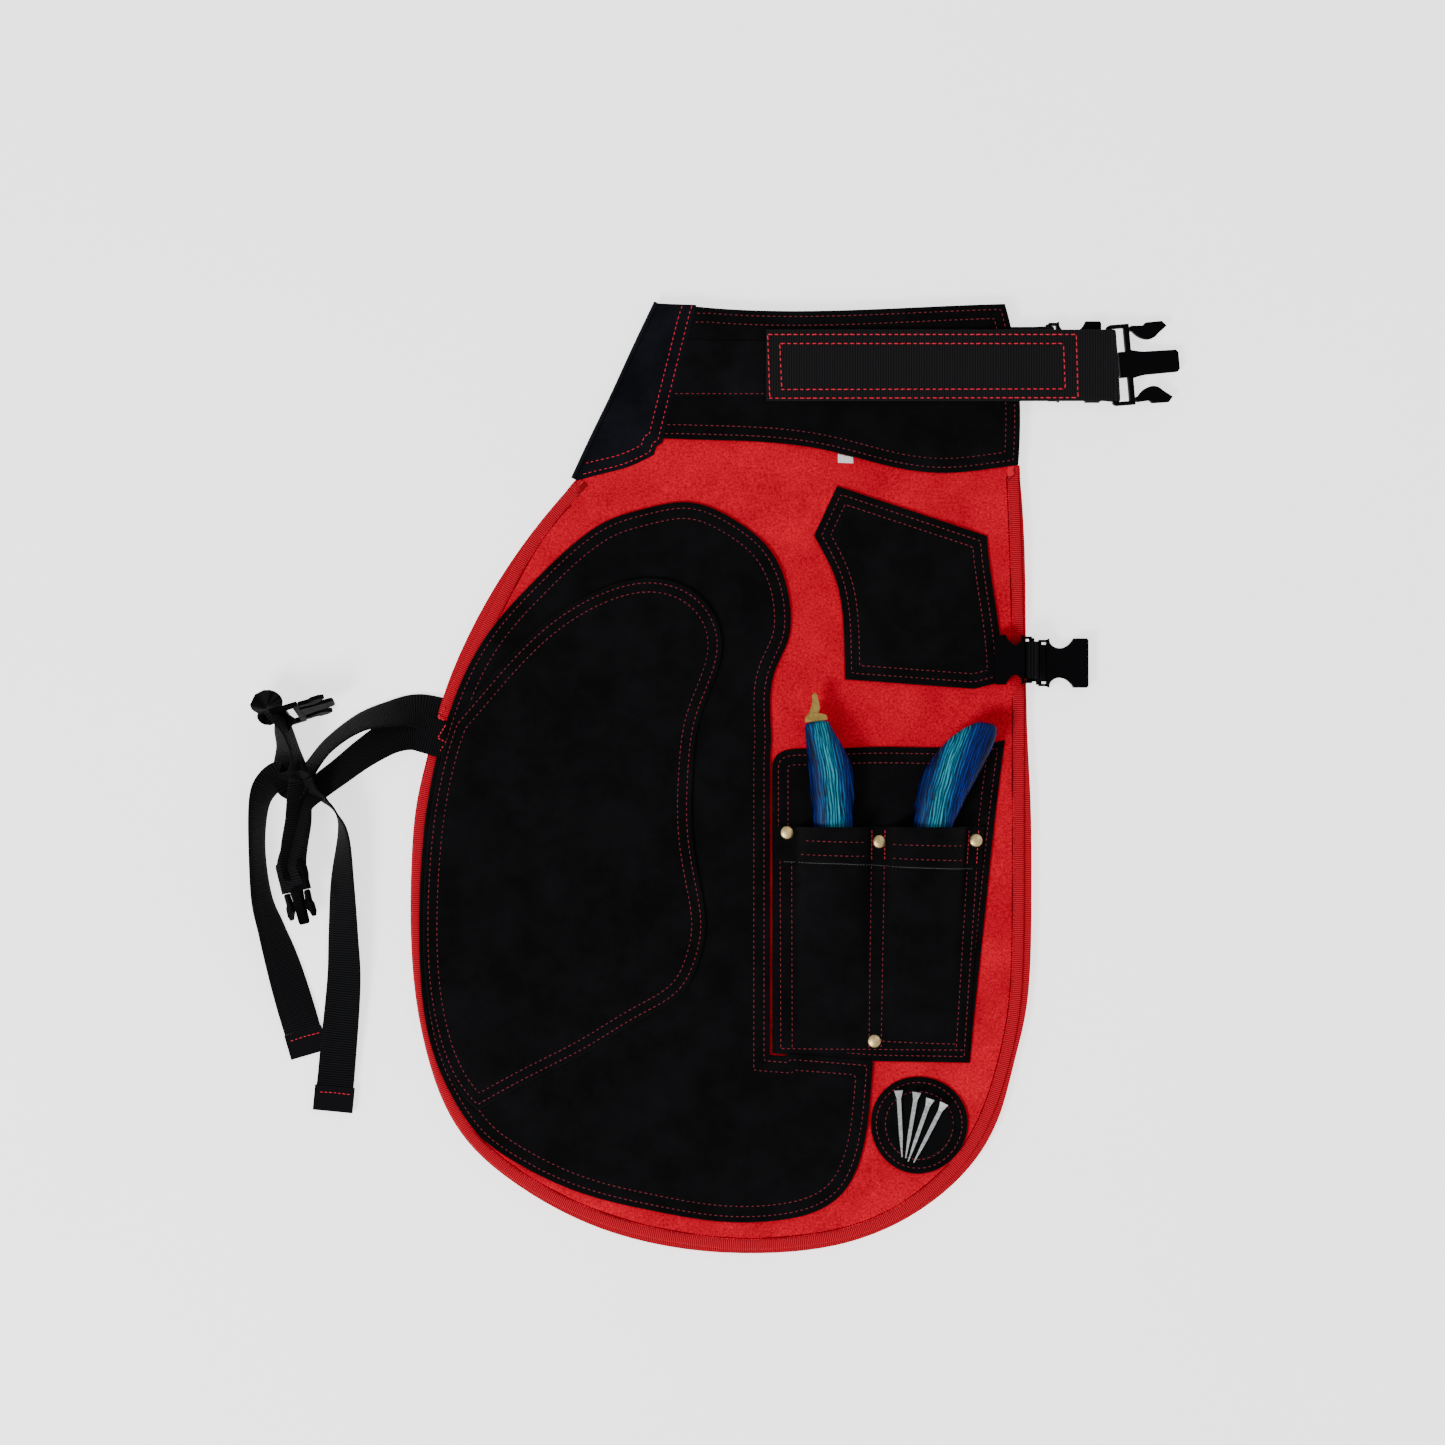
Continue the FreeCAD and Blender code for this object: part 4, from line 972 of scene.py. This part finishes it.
def pocket(side, up, body):
    """The tool pocket: its back, the humped front, the band along its mouth, and the rivets."""
    patch(f"pocket_back_{side}", body, up, (4.2, 10.6), swell=0.15, seed=5.0)
    front, band = f"pocket_front_{side}", f"pocket_band_{side}"
    low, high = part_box(front)
    mouth, foot, left, right = high.y, low.y, low.x, high.x
    inset = 10.5 * MM
    shape = hump_height if up > 0 else None
    skin = 1.2 * MM
    level, _ = inner_face(front, up)
    slant = [(right - inset * k / 5, mouth + (foot - mouth) * k / 5) for k in range(6)]
    loop = np.array([(left, mouth), (left, foot), *slant[::-1]])
    across = lambda x0, x1: np.array([(x0 * MM, mouth - 4 * MM), (x1 * MM, foot + 1.5 * MM)])
    rows = [across(-10.3, -9.8), across(-2.6, -2.2), across(50.8, 48.9), across(59.6, 57.0),
            across(122.3, 112.5), across(115.9, 107.0)]
    rows += [np.array([(57 * MM, -175 * MM), (107 * MM, -177 * MM)]),
             np.array([(-10 * MM, -180 * MM), (112 * MM, -181 * MM)])]
    cloth(f"{front}_skin", loop, level, skin, LEATHER, body, [front], up, rows, step=3.2,
          swell=0.0, groove=0.3, shape=shape, edge=0.8)
    rise = shape or (lambda points: np.zeros(len(points)))
    height = lambda points: level + up * (skin - 0.2 * MM + rise(points))
    stitches(f"{front}_stitches", rows, height, THREAD_DARK, body, up)
    loop = np.array([(left, mouth), (left, mouth - 23 * MM), (30 * MM, mouth - 24 * MM),
                     (62 * MM, mouth - 26 * MM), (right - 1.5 * MM, mouth - 28 * MM), (right, mouth)])
    step = skin + 0.05 * MM
    cross = lambda y0, y1, x0, x1: np.array([(x0 * MM, y0 * MM), (x1 * MM, y1 * MM)])
    rows = [cross(-41.0, -42.2, 6, 46), cross(-50.2, -51.5, 3, 47), cross(-43.6, -44.6, 64, 112),
            cross(-52.8, -54.4, 64, 112), cross(-34, -54, 50.8, 50.6), cross(-34, -55, 59.6, 59.3),
            cross(-34, -57, 122.0, 120.6), cross(-34, -57, 115.6, 114.2)]
    cloth(f"{band}_skin", loop, level + up * step, skin, LEATHER, body, [band], up, rows, step=2.6,
          swell=0.0, groove=0.3, shape=shape, edge=0.9)
    height = lambda points: level + up * (step + skin - 0.2 * MM + rise(points))
    stitches(f"{band}_stitches", rows[:4], height, THREAD_DARK, body, up)
    stitches(f"{band}_tacks", rows[4:], height, THREAD_RED, body, up, pitch=2.9)
    # Not a cut edge: a grey strip along the band's lower edge, a painted highlight on that edge.
    highlight_line = np.array([(-8, -55.4), (30, -56.3), (62, -58.3), (118, -60.2)]) * MM
    lower = lambda points: level + up * (skin + 0.5 * MM + rise(points))
    stitches(f"{band}_edge_highlight_strip", [highlight_line], lower, EDGE_HIGHLIGHT_PAINT, body, up, pitch=2.0, length=2.4, thick=0.26)
    dome = [(0, 1.55), (1.1, 1.5), (2.2, 1.32), (3.1, 1.0), (3.8, 0.62), (4.25, 0.24), (4.35, 0.0),
            (4.25, -0.3), (3.0, -0.4)]
    caps = islands(f"pocket_rivets_{side}")
    for number, (low, high) in enumerate(caps):
        middle = (low + high) / 2
        base = low[2] if up > 0 else high[2]
        lathe(f"rivet_{side}_{number}", dome if up > 0 else [(r, 0.5 * z) for r, z in dome],
              (middle[0], middle[1], base + up * 0.1 * MM), BRASS, body, up,
              [f"pocket_rivets_{side}"])


def magnet_holder(side, up, body):
    """The leather disc that is sewn over the nail magnet, and the magnet."""
    node = f"magnet_cover_{side}"
    low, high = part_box(node)
    centre = np.array([(low.x + high.x) / 2, (low.y + high.y) / 2])
    level, _ = inner_face(node, up)
    turn = np.linspace(0, 2 * math.pi, 120, endpoint=False)
    ring = lambda r, wobble=0.0: centre + np.stack(
        [np.cos(turn), np.sin(turn)], 1) * (r * MM * (1 + wobble * np.sin(3 * turn + 0.6)))[:, None]
    even = np.ones(120)
    loop = ring(32.3 * even, 0.012)
    rows = [close(ring(28.6 * even, 0.01)), close(ring(22.6 * even, 0.012))]

    def raised(points):
        r = np.linalg.norm(points[:, :2] - centre, axis=1) / MM
        t = np.clip((24.5 - r) / 4.0, 0, 1)
        return 3.0 * MM * t * t * (3 - 2 * t)

    cloth(f"{node}_skin", loop, level, 1.8 * MM, LEATHER, body, [node], up, rows, step=2.6,
          swell=0.0, shape=raised, edge=0.9)
    height = lambda points: level + up * (1.55 * MM + raised(points))
    stitches(f"{node}_stitches", rows, height, THREAD_DARK, body, up)
    dress(f"nail_magnet_{side}", MAGNET)


def handle(name, stand, sections, body, node):
    """A hoof knife's handle: flattened round sections, laid along a line that leans at the butt."""
    x, y, turn = stand
    aim = (Matrix.Translation((x * MM, y * MM, 17.5 * MM))
           @ Matrix.Rotation(math.radians(90 + turn), 4, "Z") @ Matrix.Rotation(math.radians(-3), 4, "Y"))
    smooth = curve(sections, 90)
    end = smooth[-1]
    caps = []
    for k in range(1, 9):
        a = math.pi / 2 * k / 8
        slope = (smooth[-1] - smooth[-4]) / 3
        caps.append([end[0] + 2.2 * math.sin(a), end[1] * math.cos(a) + 0.01, end[2] * math.cos(a) + 0.01,
                     end[3] + 0.5 * slope[3] * math.sin(a)])
    smooth = np.vstack([smooth, caps])
    around = 40
    points, weave = [], []
    for s, wide, thick, shift in smooth:
        for k in range(around):
            a = 2 * math.pi * k / around
            c, q = math.cos(a), math.sin(a)
            u = abs(c) ** 0.86 * math.copysign(1, c)
            v = abs(q) ** 0.86 * math.copysign(1, q)
            local = Vector((s, -shift + wide * u, thick * v)) * MM
            points.append(tuple(aim @ local))
            weave.append((s * MM, (wide * u - 0.55 * shift) * MM, thick * v * MM))
    solid_tube(name, points, around, WOOD, body, [node], weave, 60)


def tools():
    one = [(-45, 8, 4.6, 0), (-20, 11.3, 6.1, 0), (3, 13, 7.6, 0), (20, 14.4, 8.2, 2),
           (38, 14.4, 8.2, 2.8), (51, 12.2, 7.4, 1.0), (66, 8.8, 5.8, -1.8), (69, 8.1, 5.4, -2.1)]
    two = [(-45, 8, 4.6, 0), (-20, 11, 6.1, 0), (3, 12.8, 7.6, 0.3), (21.5, 16, 8.2, 2.9),
           (37, 17.6, 8.2, 7.5), (50, 17.3, 8.0, 12.9), (62.5, 15, 7.2, 19.6), (70.5, 11.3, 5.7, 24.6),
           (74, 8, 4.2, 27)]
    handle("knife_one_handle", (25.1, -31.8, 7.5), one, "hoof_knife_one", "hoof_knife_one_handle")
    handle("knife_two_handle", (90.3, -35.5, -6.0), two, "hoof_knife_two", "hoof_knife_two_handle")
    dress("hoof_knife_one_pick", PICK_BRASS, 0.5)
    for name in ("one", "two"):
        dress(f"hoof_knife_{name}_blade", BLADE_STEEL, 0.3)
    for number in range(1, 5):
        dress(f"horseshoe_nail_{number}", STEEL, 0.3)


# ---------------------------------------------------------------- webbing and buckles
def turn_about(bar, radius, start, end, count=22):
    """Points of an arc about a bar, in x and height."""
    return [(bar[0] + radius * math.cos(math.radians(a)), bar[1] + radius * math.sin(math.radians(a)))
            for a in np.linspace(start, end, count)]


def upright_loop(name, path, y, half, thick, material, body, stands_for, swing=0.0, pivot=None):
    """Webbing whose line runs in x and height; the turned end may be swung about the bar."""
    centre, side = [], []
    for px, pz in path:
        centre.append((px * MM, y * MM, pz * MM))
        near = 0.0
        if pivot is not None:
            near = max(0.0, min(1.0, 1 - math.hypot(px - pivot[0], pz - pivot[1]) / 14))
        a = math.radians(swing * near)
        side.append((-math.sin(a), math.cos(a), 0))
    return ribbon(name, centre, side, half * MM, thick * MM, material, body, stands_for)


def densify(path, step=1.2):
    """An even line through an x-and-height path."""
    line = np.array(path, float)
    run = run_along(line)
    places = np.linspace(0, run[-1], max(2, int(run[-1] / step)))
    return [tuple(np.interp(p, run, line[:, k]) for k in (0, 1)) for p in places]


def waist():
    """The waist strap's two halves and the plastic buckles."""
    low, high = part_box("waist_strap_left")
    y = (low.y + high.y) / 2 / MM
    bar = (211.0, 8.3)
    left = low.x / MM
    path = [(left, 11.6), (60, 11.7), (120, 11.6), (188, 11.7), (206, 11.65)]
    path += turn_about(bar, 3.3, 90, -150) + [(205.4, 9.4), (205.2, 10.6)]
    strap = upright_loop("waist_strap_upper", densify(path), y, 23.85, 1.9, WAIST_WEBBING, "waist_strap",
                         ["waist_strap_left"], 5.0, bar)
    x0, x1 = -18.6, 188.0

    def box(a, b, c, d):
        corners = [(a, c), (b, c + 0.4), (b - 1.2, d), (a, d), (a + 1.4, c)]
        return [np.array(side) * MM for side in zip(corners, corners[1:])]

    rows = box(x0, x1, 253.2, 295.6) + box(x0 + 8.0, x1 - 8.5, 259.0, 289.6)
    stitches("waist_strap_stitches", rows, level_of(12.82 * MM), THREAD_RED, "waist_strap", 1,
             pitch=4.2, length=3.4, thick=0.42)
    low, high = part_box("waist_strap_right")
    bar = (169.0, 4.0)
    path = [(20, 1.05), (80, 1.05), (162, 1.05)] + turn_about(bar, 3.1, -90, 90)
    path += [(163, 5.6), (160, 3.6), (144, 3.0)]
    y = (low.y + high.y) / 2 / MM
    strap = upright_loop("waist_strap_lower", densify(path), y, 23.7, 1.7, WAIST_WEBBING, "right_leaf",
                         ["waist_strap_right"])
    for node in ("waist_buckle_male_frame", "waist_buckle_male_arm_left", "waist_buckle_male_arm_right",
                 "waist_buckle_female", "leg_buckle_female_left", "leg_buckle_female_right"):
        dress(node, PLASTIC, 0.6)
    for side in ("left", "right"):
        for part in ("frame", "arm_left", "arm_right"):
            dress(f"leg_buckle_male_{side}_{part}", PLASTIC, 0.5)


def leg_loops():
    """The sewn webbing loops that hold the female leg buckles."""
    bar = (157.0, 13.8)
    path = [(149, 7.15), (155, 7.2), (159.4, 9.6)] + turn_about(bar, 3.15, -10, 190)
    path += [(153.9, 10.6), (152.9, 9.0)]
    piece = upright_loop("buckle_loop_upper", densify(path, 0.7), 79, 12.3, 1.6, WEBBING, "left_leaf",
                         ["buckle_loop_left"])
    bar = (162.5, 4.0)
    turned = [(x + 0.85 * max(x - bar[0], 0), z) for x, z in turn_about(bar, 3.1, -110, 120)]
    path = [(148, 3.75), (155, 3.4), (159.2, 1.9)] + turned + [(158, 5.2), (154, 4.6)]
    piece = upright_loop("buckle_loop_lower", densify(path, 0.7), 77, 12.3, 1.6, WEBBING, "right_leaf",
                         ["buckle_loop_right"])


def strap(name, control, body, exit, far_end, pieces, stands_for, count=110):
    """Leg webbing from control points of (x, y, z, tilt), tilt being the width's lean from level."""
    line = curve(control, count)
    centre = line[:, :3] * MM
    heading = np.gradient(centre, axis=0)
    level = np.column_stack([left_of(unit(heading[:, :2])), np.zeros(count)])
    tilt = np.radians(line[:, 3])[:, None]
    side = level * np.cos(tilt) + np.array([0, 0, 1.0]) * np.sin(tilt)
    piece = ribbon(name, centre, side, 12.4 * MM, 1.5 * MM, WEBBING, None, stands_for)
    if body:
        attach(piece, body)
    return piece


def leg_straps():
    """Both straps, each a run from the leaves' edge to its buckle and a tail to its end tab."""
    buckles = {side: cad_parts[f"leg_buckle_male_{side}_frame"] for side in ("left", "right")}
    run_a = [(-229, 24.5, 8.8, 2), (-244, 28.5, 9.0, 8), (-256, 31, 9.8, 14), (-270, 27.5, 12, 24),
             (-287, 17, 14.5, 36), (-302, 5.5, 16, 43), (-316, -5, 16, 46), (-327, -15, 15.5, 50),
             (-331.5, -28, 15.5, 52), (-334, -43, 15.8, 52), (-338.2, -57.5, 16.2, 52),
             (-336.2, -66, 16, 50), (-333, -74, 14.2, 46)]
    tail_a = [(-333, -68.6, 13.2, 52), (-333, -64.4, 12.9, 52), (-334.6, -56.5, 12.8, 52),
              (-333.4, -44, 13.9, 52), (-330.6, -28, 17.2, 53), (-329.5, -12, 20, 57), (-327, 0, 23.5, 62),
              (-321, -8, 21, 72), (-313, -15, 17, 80), (-305.5, -23, 14.5, 84), (-301, -38, 13.5, 68),
              (-301.8, -70, 11.5, 46), (-301.5, -105, 9, 32), (-301.5, -137, 6.5, 20), (-306, -190, 4.6, 4),
              (-307.5, -206, 4.4, 0)]
    run_b = [(-238, 42, 5.4, 8), (-252, 45, 6.5, 25), (-268, 43.5, 10, 45), (-290, 37, 13.5, 60),
             (-311, 22, 14.5, 66), (-325, 4, 13, 62), (-333, -5, 12, 40), (-338, 6, 12, -25),
             (-340, 20, 13.5, -58), (-342, 33, 15, -62), (-338, 43.5, 16.5, -48)]
    tail_b = [(-346, 43, 18, -66), (-350.5, 47, 23, -58), (-346, 46, 27, -66), (-337, 32, 25, -80),
              (-331.5, 14, 22, -80), (-334, 3, 18, -60), (-344, 2, 14, -44), (-353, -6, 13.5, -52),
              (-357.5, -20, 13.5, -66), (-358.5, -48, 13, -72), (-355.5, -80, 12, -64), (-349, -102, 9.5, -50),
              (-342, -124, 7.6, -32), (-329.5, -168.5, 1.9, 0)]
    ends = {side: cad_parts[f"leg_strap_{side}_end"] for side in ("left", "right")}
    a = strap("leg_strap_a_run", run_a, None, (-0.229, 0.0245, 0.0088), "fitting", [buckles["left"]],
              ["leg_strap_left"])
    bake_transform(a)
    strap("leg_strap_a_tail", tail_a, "right_leaf", (-0.333, -0.0686, 0.0132), "fitting", [ends["left"]],
          ["leg_strap_left"], 150)
    strap("leg_strap_b_run", run_b, "right_leaf", (-0.238, 0.042, 0.0054), "fitting", [buckles["right"]],
          ["leg_strap_right"])
    strap("leg_strap_b_tail", tail_b, "right_leaf", (-0.346, 0.043, 0.018), "fitting", [ends["right"]],
          ["leg_strap_right"], 150)
    for side, base, way in (("left", (-307.5, -205.5), (-0.096, -0.995)),
                            ("right", (-329.5, -168.5), (0.279, -0.960))):
        tab = f"leg_strap_{side}_end"
        dress(tab, TAB_PLASTIC, 0.5)
        base, way = np.array(base), np.array(way)
        over = np.array([way[1], -way[0]])
        row = np.array([base + 4.6 * way - 11 * over, base + 4.3 * way, base + 4.8 * way + 11 * over]) * MM
        stitches(f"{tab}_stitches", [row], level_of(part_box(tab)[1].z + 0.1 * MM), THREAD_RED, "right_leaf", 1,
                 pitch=3.0, length=2.5)


def tag():
    low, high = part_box("size_tag")
    hem = np.array([(low.x, low.y), (high.x, low.y)])
    piece = cloth("size_tag_cloth", outline("size_tag"), low.z, high.z - low.z, TAG, "left_leaf",
                  ["size_tag"], 1, edge=0.3, step=1.5, swell=0.1, weave_line=hem)


camera()
leg_straps()
studio()
leaf("left", 1, "left_leaf")
leaf("right", -1, "right_leaf")
gusset()
pocket("left", 1, "left_leaf")
pocket("right", -1, "right_leaf")
magnet_holder("left", 1, "left_leaf")
magnet_holder("right", -1, "right_leaf")
tools()
waist()
leg_loops()
tag()
